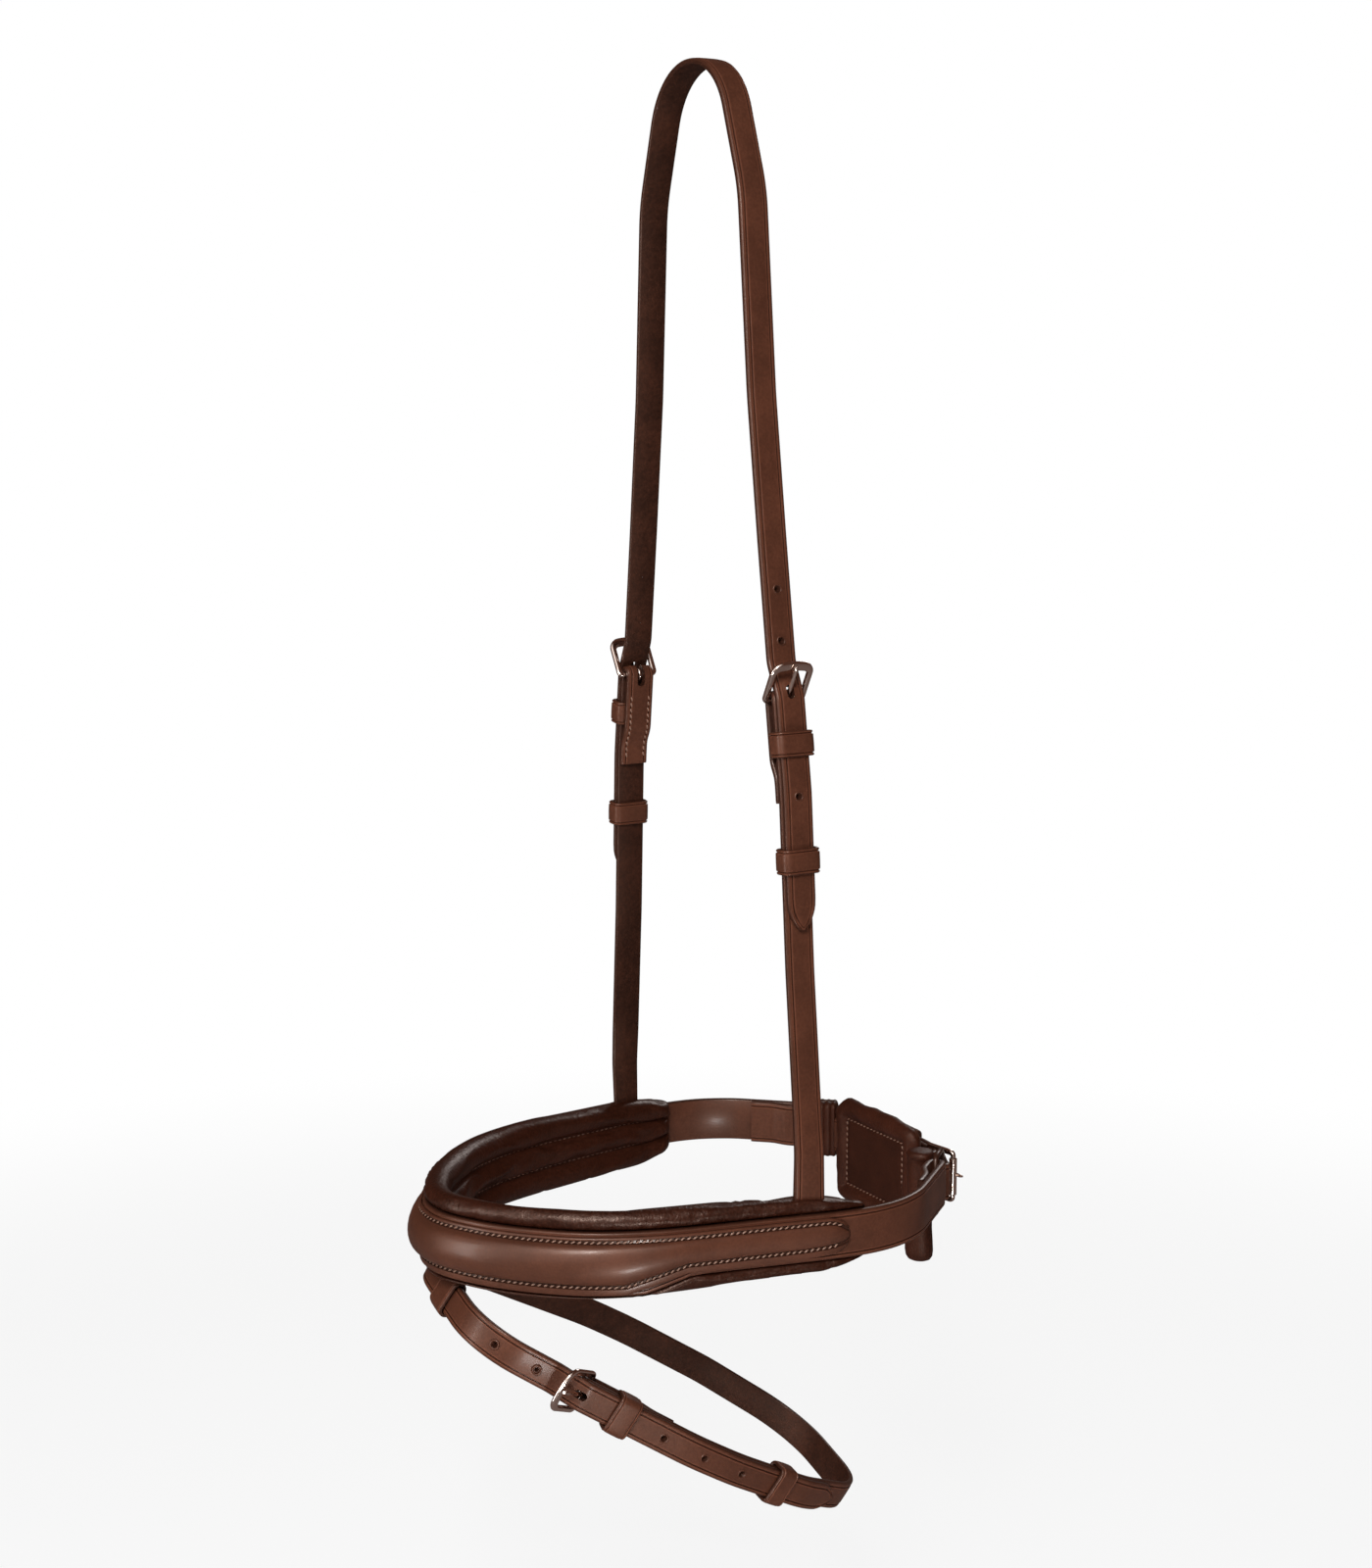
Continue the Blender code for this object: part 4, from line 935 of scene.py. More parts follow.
def laid_grid(bm, points, along=None, across=None, slots=None, wrap_rows=False, wrap_columns=False,
              capped=False):
    """Lay a grid over rows of points, with its map and its slots, weld wrapped edges and fill open ends."""
    points = np.asarray(points)
    along = np.arange(len(points)) if along is None else np.asarray(along)
    across = np.zeros(points.shape[:2]) if across is None else np.asarray(across)
    if wrap_rows:
        points = np.concatenate([points, points[:1]])
        across = np.concatenate([across, across[:1]])
        along = np.append(along, along[-1])
    if wrap_columns:
        points = np.concatenate([points, points[:, :1]], axis=1)
        across = np.concatenate([across, across[:, :1]], axis=1)
    rows, columns = points.shape[:2]
    made = bmesh.ops.create_grid(bm, x_segments=rows - 1, y_segments=columns - 1, size=0.5)
    layer = bm.loops.layers.uv.get("strap") or bm.loops.layers.uv.new("strap")
    places = {}
    for vert in made["verts"]:
        places[vert] = (round((vert.co.x + 0.5) * (rows - 1)), round((vert.co.y + 0.5) * (columns - 1)))
    faces = {face for vert in made["verts"] for face in vert.link_faces}
    for face in faces:
        face.smooth = True
        if slots is not None:
            face.material_index = slots[min(places[vert][1] for vert in face.verts)]
        for loop in face.loops:
            row, column = places[loop.vert]
            loop[layer].uv = (along[row], across[row][column])
    for vert, (row, column) in places.items():
        vert.co = points[row, column]
    verts = list(made["verts"])
    if wrap_rows or wrap_columns:
        bmesh.ops.remove_doubles(bm, verts=verts, dist=GAP / 1000)
    if capped:
        edges = {edge for edge in bm.edges if edge.is_boundary}
        filled = bmesh.ops.holes_fill(bm, edges=list(edges), sides=0)
        for face in filled["faces"]:
            face.material_index = EDGE if slots is not None else 0


def strap_section(low, high, thick, shrink):
    """Points round a section as (lateral, height, slot of what follows, distance from the edge)."""
    half = thick / 2
    inset, depth = sizes().crease_inset * shrink, sizes().crease_depth
    lip = [(0.0, half * EDGE_FLAT[0])] + [(a * shrink, half - down) for a, down in LIP_BEVEL]
    lip += [(inset + a, half - down - depth * grooved) for a, down, grooved in CREASE_GROOVE]
    under = [(0.0, half * EDGE_FLAT[1])] + [(a * shrink, up - half) for a, up in LOWER_EDGE]
    middle, reach = (low + high) / 2, (high - low) / 2
    kinds = [EDGE] + [GRAIN] * (len(lip) - 1)
    points = [(low + a, h, kind, a) for (a, h), kind in zip(lip, kinds)]
    points.append((middle, half + FACE_CROWN, GRAIN, reach))
    points += [(high - a, h, kind, a) for (a, h), kind in zip(lip[::-1], kinds[::-1])]
    points += [(high - a, h, kind, a) for (a, h), kind in zip(under, (EDGE, EDGE, FLESH))]
    points.append((middle, -half, FLESH, reach))
    points += [(low + a, h, kind, a) for (a, h), kind in zip(under[::-1], (FLESH, EDGE, EDGE))]
    return points


def dense(run, spots, values):
    """Fill in between (distance, offset) spots, with the values that go with them, and soften the corners.

    Returns flat centre points, their values and the distance along the strap itself."""
    places, carried = [], []
    for (s0, n0), (s1, n1), v0, v1 in zip(spots, spots[1:], values, values[1:]):
        count = max(1, math.ceil(math.hypot(s1 - s0, n1 - n0) / ROW_STEP))
        for share in np.arange(count) / count:
            places.append((s0 + (s1 - s0) * share, n0 + (n1 - n0) * share))
            carried.append(np.asarray(v0) * (1 - share) + np.asarray(v1) * share)
    places.append(spots[-1])
    carried.append(np.asarray(values[-1], float))
    flats = np.array([run.flat(s, n)[0] for s, n in places])
    for _ in range(SOFTENING_ROUNDS):
        flats[1:-1] = flats[1:-1] / 2 + (flats[:-2] + flats[2:]) / 4
    return flats, np.array(carried), distances(flats)


def square_to(flats, flip):
    """Outward directions along a line of flat points."""
    tangents = np.gradient(flats, axis=0)
    tangents /= np.linalg.norm(tangents, axis=1)[:, None]
    return np.stack([tangents[:, 1], -tangents[:, 0]], axis=1) * (-1 if flip else 1)


def strap_rows(run, flats, carried, thick, flip):
    """Section points along a strap, and for each its distance from the edge and its slot."""
    rows, insets, slots = [], [], None
    for i, (flat, normal, (low, high, twist)) in enumerate(zip(flats, square_to(flats, flip), carried)):
        height = STRAP_END_SHARE if i in (0, len(flats) - 1) else 1.0
        section = strap_section(low, high, thick, min(1.0, (high - low) / sizes().strap_width))
        rows.append([run.lift(flat + normal * (h * height + twist * a), a) for a, h, _, _ in section])
        insets.append([edge * 1000 for _, _, _, edge in section])
        slots = [kind for _, _, kind, _ in section]
    return rows, insets, slots


def cut_frames(mesh_object, frames):
    """Cut rounded slots and tapered holes. Frames are (matrix, half length, half width, half depth)."""
    bm = bmesh.new()
    for placed, half_length, half_width, half_depth in frames:
        back, mouth = (HOLE_BACK_SHARE, HOLE_MOUTH_SHARE) if half_length == half_width else (1.0, 1.0)
        made = bmesh.ops.create_cone(
            bm, cap_ends=True, segments=CUT_STEPS, radius1=half_width * back, radius2=half_width * mouth,
            depth=2 * half_depth,
        )
        for vert in made["verts"]:
            if abs(vert.co.x) > GAP / 100:
                vert.co.x += math.copysign(half_length - half_width, vert.co.x)
        bmesh.ops.transform(bm, matrix=Matrix(placed), verts=made["verts"])
    for face in bm.faces:
        face.material_index = EDGE
    tool = linked("cutter", closed_mesh(bm, "cutter"))
    for _ in range(3):
        tool.data.materials.append(None)
    cut = mesh_object.modifiers.new("holes", "BOOLEAN")
    cut.operation = "DIFFERENCE"
    cut.solver = "EXACT"
    cut.object = tool
    baked = evaluated_mesh(mesh_object)
    mesh_object.modifiers.clear()
    mesh_object.data = baked
    bpy.data.objects.remove(tool, do_unlink=True)


def leather_strap(name, run, spots, body, replaced, thick=None, spans=None, twists=None,
                  flip=False, frames=(), inner="flesh"):
    """A strap with bevelled, creased edges.

    Spans hold its extent across at each spot, twists its turn outward."""
    thick = thick or sizes().strap_thick
    width = sizes().strap_width
    spans = spans or [(-width / 2, width / 2)] * len(spots)
    values = [(*span, twist) for span, twist in zip(spans, twists or [0.0] * len(spots))]
    flats, carried, along = dense(run, spots, values)
    rows, insets, slots = strap_rows(run, flats, carried, thick, flip)
    obj = grid_piece(
        name, rows, ("grain", "edge", inner), body, replaced, along=along, across=insets, slots=slots,
        wrap_columns=True, capped=True,
    )
    for group in (frames[:1], frames[1:]):
        if group:
            cut_frames(obj, group)
    obj.data.set_sharp_from_angle(angle=math.radians(SHARP))
    holes = [frame for frame in frames if frame[1] == frame[2]]
    if holes:
        hole_rims(name + "_hole_rims", holes, thick / 2, body)


def hole_rims(name, holes, level, body):
    """The rounded rims that a punch leaves round the holes."""
    bm = bmesh.new()
    for placed, radius, _, _ in holes:
        spots = [(radius * (1 + share), level + lift) for share, lift in RIM]
        turns = [2 * math.pi * step / RIM_STEPS for step in range(RIM_STEPS)]
        ring = [[at(placed, r * math.cos(turn), r * math.sin(turn), z) for r, z in spots] for turn in turns]
        laid_grid(bm, ring, wrap_rows=True, wrap_columns=True)
    return shown(name, bm, ("raised",), body, sharp=ALL_SMOOTH)


def sewn(name, lines, body, slant=STITCH_SLANT, pitch=None, scale=1.0):
    """Rows of stitches along (points, outward directions) lines, as one piece."""
    pitch = pitch or sizes().stitch_pitch
    bm = bmesh.new()
    for points, outward in lines:
        points, outward = np.array(points), np.array(outward)
        along = distances(points)
        for s in np.arange(pitch / 2, along[-1], pitch):
            ahead = between(min(s + pitch / 4, along[-1]), along, points)
            back = between(max(s - pitch / 4, 0), along, points)
            up = between(s, along, outward)
            x = (ahead - back) / np.linalg.norm(ahead - back)
            up = up - x * (x @ up)
            up /= np.linalg.norm(up)
            side = np.cross(up, x)
            x, side = x + side * slant, side - x * slant
            placed = np.eye(4)
            placed[:3, 0] = x / np.linalg.norm(x) * sizes().stitch_length / 2 * scale
            placed[:3, 1] = side / np.linalg.norm(side) * sizes().stitch_radius * scale
            placed[:3, 2] = up * sizes().stitch_radius * scale
            placed[:3, 3] = between(s, along, points)
            bmesh.ops.create_uvsphere(bm, u_segments=6, v_segments=5, radius=1.0, matrix=Matrix(placed))
    return shown(name, bm, ("thread",), body, sharp=ALL_SMOOTH)


def rounded_outline(half_x, half_z, radius, straight=8):
    """Points round a rounded rectangle, the same number at any size, and their directions outward."""
    radius = max(radius, LEAST_RADIUS)
    x, z = half_x - radius, half_z - radius
    corners = ((x, z), (-x, z), (-x, -z), (x, -z))
    points, outward = [], []
    for number, corner in enumerate(corners):
        degrees = range(90 * number, 90 * number + 91, 15)
        points += arc(corner, radius, degrees)
        outward += arc((0, 0), 1, degrees)
        here, goal = points[-1], arc(corners[(number + 1) % 4], radius, degrees[-1:])[0]
        points += [blend(here, goal, share) for share in np.linspace(0, 1, straight + 2)[1:-1]]
        outward += [outward[-1]] * straight
    return points, outward


def keeper(name, placed, low, high, half_width, half_length, body, thick=KEEPER_THICK, corner=KEEPER_CORNER):
    """A leather loop round the layers from low to high: a creased band bent round a rounded rectangle."""
    middle, half_height = (low + high) / 2, (high - low + thick) / 2
    line, outward = rounded_outline(half_width + thick / 2, half_height, corner + thick / 2, 3)
    section = strap_section(-half_length, half_length, thick, KEEPER_SHRINK)
    rows = []
    for (y, z), (ny, nz) in zip(line, outward):
        rows.append([at(placed, a, y + ny * h, middle + z + nz * h) for a, h, _, _ in section])
    return grid_piece(
        name, rows, ("grain", "edge", "flesh"), body, (name,), along=distances(line),
        across=[[edge * 1000 / KEEPER_SHRINK for _, _, _, edge in section]] * len(rows),
        slots=[kind for _, _, kind, _ in section], wrap_rows=True, wrap_columns=True,
    )


# Buckle metal


def buckle_frame(name, placed, tilt, body, side_half=FRAME_SIDE_HALF, round_tip=False):
    """A closed loop of bar: round at the hinge, flat along the sides and at the tip."""
    hinge, tip = HINGE_CORNER, HINGE_CORNER if round_tip else TIP_CORNER
    bow = 0 if round_tip else TIP_BAR_BOW
    wire = (BAR_RADIUS, BAR_RADIUS)
    side = (SIDE_BAR_HALF, FRAME_THICK_HALF)
    end = (FRAME_THICK_HALF, FRAME_THICK_HALF) if round_tip else (TIP_BAR_HALF, FRAME_THICK_HALF)
    half_loop = [((0, y), (0, 1), wire) for y in (0, side_half - hinge * 2, side_half - hinge)]
    for degrees in range(18, 91, 18):
        cosine, sine = math.cos(math.radians(degrees)), math.sin(math.radians(degrees))
        spot = (hinge - hinge * cosine, side_half - hinge + hinge * sine)
        half_loop.append((spot, (sine, cosine), blend(wire, side, degrees / 90)))
    for share in (0.3, 0.7):
        half_loop.append(((hinge + (FRAME_LENGTH - tip - hinge) * share, side_half), (1, 0), side))
    for degrees in range(0, 91, 15):
        cosine, sine = math.cos(math.radians(degrees)), math.sin(math.radians(degrees))
        lift = bow * max(degrees / 90 - 0.5, 0)
        spot = (FRAME_LENGTH - tip + tip * sine + lift, side_half - tip + tip * cosine)
        half_loop.append((spot, (cosine, -sine), blend(side, end, degrees / 90)))
    for share in (0.75, 0.5, 0.25, 0):
        spot = (FRAME_LENGTH + bow * (1 - share / 2 * share), (side_half - tip) * share)
        half_loop.append((spot, (0, -1), end))
    loop = half_loop + [((x, -y), (-tx, ty), size) for (x, y), (tx, ty), size in half_loop[-2:0:-1]]
    rings = []
    turned = frame_turned(placed, tilt)
    for (x, y), (tx, ty), (wide, thick) in loop:
        ring = []
        for step in range(BAR_STEPS):
            turn = 2 * math.pi * (step + 0.5) / BAR_STEPS
            out, up = (
                half * math.copysign(abs(part) ** BAR_SQUARENESS, part)
                for half, part in ((wide, math.cos(turn)), (thick, math.sin(turn)))
            )
            ring.append(at(turned, x + ty * out, y - tx * out, up))
        rings.append(ring)
    return grid_piece(
        name, rings, ("nickel",), body, (name,), "polished_metal", sharp=METAL_SHARP, wrap_rows=True,
        wrap_columns=True,
    )


def wire_piece(name, spots, radii, body, replaced, cyclic=False, slot="polished_metal", material="nickel"):
    """A bent wire along the spots, made a mesh."""
    curve = bpy.data.curves.new(name, "CURVE")
    curve.dimensions = "3D"
    curve.bevel_depth = 1.0
    curve.bevel_resolution = 5
    curve.use_fill_caps = True
    spline = curve.splines.new("POLY")
    spline.points.add(len(spots) - 1)
    for point, spot, radius in zip(spline.points, spots, radii):
        point.co = (*spot, 1)
        point.radius = radius
    spline.use_cyclic_u = cyclic
    holder = linked(name + "_wire", curve)
    bm = bmesh.new()
    bm.from_mesh(evaluated_mesh(holder))
    bpy.data.objects.remove(holder, do_unlink=True)
    bmesh.ops.remove_doubles(bm, verts=bm.verts, dist=GAP / 1000)
    return shown(name, bm, (material,), body, replaced, slot, METAL_SHARP)


def tongue(name, placed, reach, rise, body):
    """A wire hooked round the hinge bar, whose tapered point rests on the tip bar."""
    hook = range(-150, 91, 10)
    spots = arc((0, 0), TONGUE_COIL, hook, -1)
    radii = [TONGUE_RADIUS * (0.85 if degrees < -120 else 1.0) for degrees in hook]
    for share in TONGUE_SHARES:
        spots.append((reach * share, TONGUE_COIL + (rise - TONGUE_COIL) * share))
        radii.append(TONGUE_RADIUS * (1.08 - 0.18 * share if share < 0.9 else 0.80 if share < 0.97 else 0.55))
    return wire_piece(name, [at(placed, x, 0, z) for x, z in spots], radii, body, (name,))


def roller_tube(name, placed, body):
    """A tube that turns on the frame's round tip bar."""
    bm = bmesh.new()
    lip = ROLLER_BORE + (ROLLER_RADIUS - ROLLER_BORE) / 3
    outline = [
        (ROLLER_BORE, -ROLLER_HALF), (lip, -ROLLER_HALF), (ROLLER_RADIUS, -ROLLER_HALF + GAP),
        (ROLLER_RADIUS, ROLLER_HALF - GAP), (lip, ROLLER_HALF), (ROLLER_BORE, ROLLER_HALF),
    ]
    verts = [bm.verts.new((r, 0, z)) for r, z in outline]
    edges = [bm.edges.new((a, b)) for a, b in zip(verts, verts[1:] + verts[:1])]
    bmesh.ops.spin(
        bm, geom=verts + edges, cent=(0, 0, 0), axis=(0, 0, 1), angle=2 * math.pi, steps=ROLLER_STEPS,
        use_merge=True, use_duplicate=False,
    )
    bmesh.ops.remove_doubles(bm, verts=bm.verts, dist=GAP / 1000)
    moved = placed @ translated(FRAME_LENGTH, 0, 0) @ np.array(Matrix.Rotation(math.pi / 2, 4, "X"))
    bmesh.ops.transform(bm, matrix=Matrix(moved), verts=bm.verts)
    return shown(name, bm, ("nickel",), body, (name,), "polished_metal", 30)


def buckle_kit(prefix, run, bar, sense, slider_at, width=None, fixed_at=FIXED_KEEPER_AT,
               keeper_half=KEEPER_HALF, side_half=FRAME_SIDE_HALF, tilt=FRAME_TILT, round_tip=False,
               reach=TONGUE_REACH, rise=TONGUE_COIL, strap_body="noseband"):
    """The frame, tongue and two keepers of one buckle: the frame, the tongue and the sliding keeper each on
    its own body, the fixed keeper on the strap's body.
    """
    width = width or sizes().strap_width
    placed = run.matrix(bar, 0, sense)
    buckle_frame(f"{prefix}_buckle_frame", placed, tilt, f"{prefix}_frame", side_half, round_tip)
    tongue(f"{prefix}_buckle_tongue", frame_turned(placed, tilt), reach, rise, f"{prefix}_tongue")
    main_level, over = kit_levels()
    low, high = layer_limits(main_level, over)
    for kind, reach, body in (("fixed", fixed_at, strap_body), ("sliding", slider_at, f"{prefix}_slider")):
        place = run.matrix(bar - sense * reach, 0, sense)
        keeper(f"{prefix}_{kind}_keeper", place, low, high, width / 2 + GAP, keeper_half, body)


# Strap courses


def chape_spots(bar, sense, turn_back):
    """The strap folded round the hinge bar: from the turn-back's end, round the bar, onto the main layer."""
    level, _ = kit_levels()
    close = level - sizes().strap_thick - GAP
    spots = [(bar - sense * turn_back, close)]
    if turn_back > TURN_BACK_MEETS:
        spots.append((bar - sense * TURN_BACK_MEETS, close))
    spots += [(bar - sense * TURN_BACK_LEAVES, -level), (bar - sense * CREW_REACH, -level), (bar, -level)]
    spots += arc((bar, 0), level, range(-80, 81, 10), sense)
    return spots + [(bar, level), (bar - sense * CREW_REACH, level)]


def billet(bar, reach, sense, step, width):
    """The billet from its rounded tip over the fold to the tip bar: its spots and its extents across."""
    _, level = kit_levels()
    tip = bar - sense * reach
    places = [tip + sense * TIP_LENGTH * share for share in TIP_SHARES]
    places += spread(tip + sense * TIP_LENGTH, bar - sense * CREW_REACH, step)[1:]
    spots = [(s, level) for s in places]
    spots += arc((bar, 0), level, np.degrees(np.linspace(math.pi / 2, BILLET_TURN, 4)), sense)
    spots.append((bar + sense * BILLET_MEETS[0], BILLET_MEETS[1]))
    halves = []
    for s in places:
        share = clamped(1 - abs(s - tip) / TIP_LENGTH)
        halves.append(BLUNT_TIP + (width / 2 - BLUNT_TIP) * (1 - share**TIP_POINT))
    return spots, [(-half, half) for half in halves]


def fold_slot(placed):
    """The slot in the fold, where the tongue comes through."""
    return placed, CREW_REACH, CREW_HALF, CREW_DEEP


def hole(placed):
    radius = sizes().hole_radius
    return placed, radius, radius, sizes().strap_thick * HOLE_DEPTH_SHARE


def tilted_slot(placed, start=SLOT_FROM, end=SLOT_TO):
    """The tongue's slot through the sloping stretch of the billet, square to it."""
    middle = (start + end) / 2
    slope = math.pi / 2 - BILLET_TURN
    _, level = kit_levels()
    rise = level * math.cos(slope) - (middle - level * math.sin(slope)) * math.tan(slope)
    moved = placed @ translated(middle, 0, rise) @ np.array(Matrix.Rotation(slope, 4, "Y"))
    return moved, (end - start) / 2, SLOT_HALF, sizes().strap_thick


def turn_back_rows(run, bar, sense):
    """Two rows of stitches along the turn-back's inner face."""
    half = sizes().strap_width / 2 - ROW_INSET
    spots = [spot for spot in chape_spots(bar, sense, TURN_BACK) if (bar - spot[0]) * sense > 0][:4]
    spots = [spot for spot in spots if spot[1] < 0]
    first, last = bar - sense * (TURN_BACK - ROW_STOP), bar - sense * ROW_START
    ends = [(first, spots[0][1])] + spots[1:-1] + [(last, spots[-1][1])]
    flats, _, _ = dense(run, ends, [(0, 0, 0)] * len(ends))
    away = np.array([-run.outward(s) for s in np.linspace(first, last, len(flats))])
    lines = []
    for lateral in (-half, half):
        points = np.array([run.lift(flat, lateral) for flat in flats])
        lines.append((points + away * sizes().strap_thick / 2, away))
    return lines


class NOSEBAND_OT_head_strap(bpy.types.Operator):
    """Make the head strap, with a billet and holes at each end"""

    bl_idname = "noseband.head_strap"
    bl_label = "Head strap"

    def execute(self, context):
        run = head_run()
        middle = run.length / 2
        bar = run.distance_at(1, -CHEEK_BAR_HEIGHT)
        half = sizes().strap_width / 2
        _, level = kit_levels()
        near, ends = billet(bar, CHEEK_TIP_REACH, 1, SPOT_STEP, 2 * half)
        near += [(s, BILLET_LINE) for s in spread(bar + BILLET_MEETS[0] + BILLET_FREE, middle, CROWN_STEP)]
        spots = near + [(run.length - s, n) for s, n in reversed(near[:-1])]
        spans = ends + [(-half, half)] * (len(spots) - 2 * len(ends)) + ends[::-1]
        frames = []
        for sense, place in ((1, bar), (-1, run.length - bar)):
            for step in (*range(-HOLES_BEFORE, 0), *range(1, HOLES_BEYOND)):
                s = place + sense * (CHEEK_HOLE_REACH - step * HOLE_PITCH)
                frames.append(hole(run.matrix(s, level if step > 0 else BILLET_LINE, sense)))
            frames.append(tilted_slot(run.matrix(place, 0, sense)))
        leather_strap(
            "head_strap_leather", run, spots, "noseband", ("headstrap",), spans=spans, frames=frames
        )
        return {"FINISHED"}


class NOSEBAND_OT_cheek_straps(bpy.types.Operator):
    """Make both cheek straps, folded round their buckles and run down into the noseband"""

    bl_idname = "noseband.cheek_straps"
    bl_label = "Cheek straps"

    def execute(self, context):
        run = head_run()
        near_bar = run.distance_at(1, -CHEEK_BAR_HEIGHT)
        main_level, _ = kit_levels()
        lines = []
        for prefix, bar, sense in (("near", near_bar, 1), ("off", run.length - near_bar, -1)):
            spots = chape_spots(bar, sense, TURN_BACK)
            end = bar if sense > 0 else run.length - bar
            spots += [(bar - sense * reach, main_level) for reach in spread(CREW_REACH, end, SPOT_STEP)[1:]]
            heights = [run.point(s, n)[2] for s, n in spots]
            shares = [clamped((TWIST_FROM - z) / (TWIST_FROM - BASE_TOP)) for z in heights]
            leather_strap(
                f"{prefix}_cheek_leather", run, spots, "noseband", (f"{prefix}_cheek_strap",),
                twists=[-SEAM_TWIST_SHARE * share for share in shares], flip=sense > 0,
                frames=[fold_slot(run.matrix(bar, 0, sense))],
            )
            lines += turn_back_rows(run, bar, sense)
        sewn("cheek_stitching", lines, "noseband")
        return {"FINISHED"}


class NOSEBAND_OT_cheek_buckles(bpy.types.Operator):
    """Make the two cheek buckles with their tongues and keepers"""

    bl_idname = "noseband.cheek_buckles"
    bl_label = "Cheek buckles and keepers"

    def execute(self, context):
        run = head_run()
        near_bar = run.distance_at(1, -CHEEK_BAR_HEIGHT)
        slider_at = CHEEK_TIP_REACH - CHEEK_SLIDER_TO_TIP
        buckle_kit("near_cheek", run, near_bar, 1, slider_at)
        buckle_kit("off_cheek", run, run.length - near_bar, -1, slider_at)
        return {"FINISHED"}


def base_spans(run, spots):
    middle = run.length / 2
    return [(BASE_TOP - table(BASE_HEIGHTS, s - middle), BASE_TOP) for s, _ in spots]


class NOSEBAND_OT_base_strap(bpy.types.Operator):
    """Make the noseband's base strap, whose ends fold round the end squares"""

    bl_idname = "noseband.base_strap"
    bl_label = "Base strap"

    def execute(self, context):
        run = ring_run()
        middle = run.length / 2
        near_end = middle - BASE_THICK
        off_end = near_end - OFF_END_SHORTER
        spots = [(middle - reach, n) for reach, n in reversed(self.half(off_end)[1:])]
        spots += [(middle + reach, n) for reach, n in self.half(near_end)]
        leather_strap(
            "base_strap_leather", run, spots, "noseband", ("noseband_base_strap",), thick=BASE_THICK,
            spans=base_spans(run, spots), inner="raised",
        )
        self.square("near_end_square", run, middle + near_end, NEAR_INNER_BAR)
        self.square("off_end_square", run, middle - off_end, OFF_INNER_BAR)
        self.layers("off_end_layers", run, middle - off_end, OFF_INNER_BAR)
        return {"FINISHED"}

    def half(self, end):
        """Half of the strap: from the nose to its end, folded inward round an end square's bar."""
        level = BASE_THICK / 2
        radius = SQUARE_WIRE + GAP + BASE_THICK / 2
        close = -level - BASE_THICK - GAP
        spots = [(reach, -level) for reach in spread(0, end - BASE_THICK, BASE_STEP)]
        spots += arc((end, -level - radius), radius, range(90, -91, -12))
        spots.append((end - BASE_TURN_BACK * BASE_FOLD_OPENS_SHARE, -level - 2 * radius))
        return spots + [(end - BASE_TURN_BACK * BASE_FOLD_MEETS_SHARE, close), (end - BASE_TURN_BACK, close)]

    def layers(self, name, run, place, inner_bar):
        """The leathers that are bound over the off end square, ridged where each of them ends."""
        outer = run.flat(place, -BASE_THICK - SQUARE_WIRE)[0]
        across = (np.array(inner_bar) - outer) / np.linalg.norm(np.array(inner_bar) - outer)
        side = np.array([-across[1], across[0]])
        middle = BASE_TOP - BASE_HEIGHT / 2 - SQUARE_DROP
        rows = []
        for share in np.linspace(0, 1, LAYER_ROWS):
            full = eased(2 * share - 1, 1, LAYER_EASE)
            ridge = 1 + LAYER_RIDGE * abs(math.sin(share * math.pi * LAYER_COUNT))
            spot = outer + across * (LAYERS_FROM + (LAYERS_TO - LAYERS_FROM) * share)
            half = grown(LAYER_END_SHARES[0], full) * LAYERS_HALF[0] * ridge
            tall = grown(LAYER_END_SHARES[1], full) * LAYERS_HALF[1] * (1 + (ridge - 1) / 4)
            outline, _ = rounded_outline(half, tall, half * LAYER_CORNER_SHARE)
            rows.append([(*(spot + side * n), middle + z) for n, z in outline])
        grid_piece(name, rows, ("chin",), "noseband", sharp=50, wrap_columns=True, capped=True)

    def square(self, name, run, place, inner_bar):
        """A rectangular wire loop that joins the base strap's folded end to the jaw strap."""
        radius = SQUARE_WIRE + GAP + BASE_THICK / 2
        outer = run.flat(place, -BASE_THICK / 2 - radius)[0]
        inner = np.array(inner_bar)
        step = (inner - outer) / np.linalg.norm(inner - outer) * SQUARE_WIRE
        middle = BASE_TOP - BASE_HEIGHT / 2 - SQUARE_DROP
        top, cut = SQUARE_HALF, SQUARE_HALF - SQUARE_WIRE
        corners = [
            (*outer, middle - cut), (*outer, middle + cut), (*(outer + step), middle + top),
            (*(inner - step), middle + top), (*inner, middle + cut), (*inner, middle - cut),
            (*(inner - step), middle - top), (*(outer + step), middle - top),
        ]
        wire_piece(
            name + "_binding", corners, [SQUARE_WIRE] * len(corners), "noseband", (name,), cyclic=True,
            slot="bridle_leather", material="edge",
        )


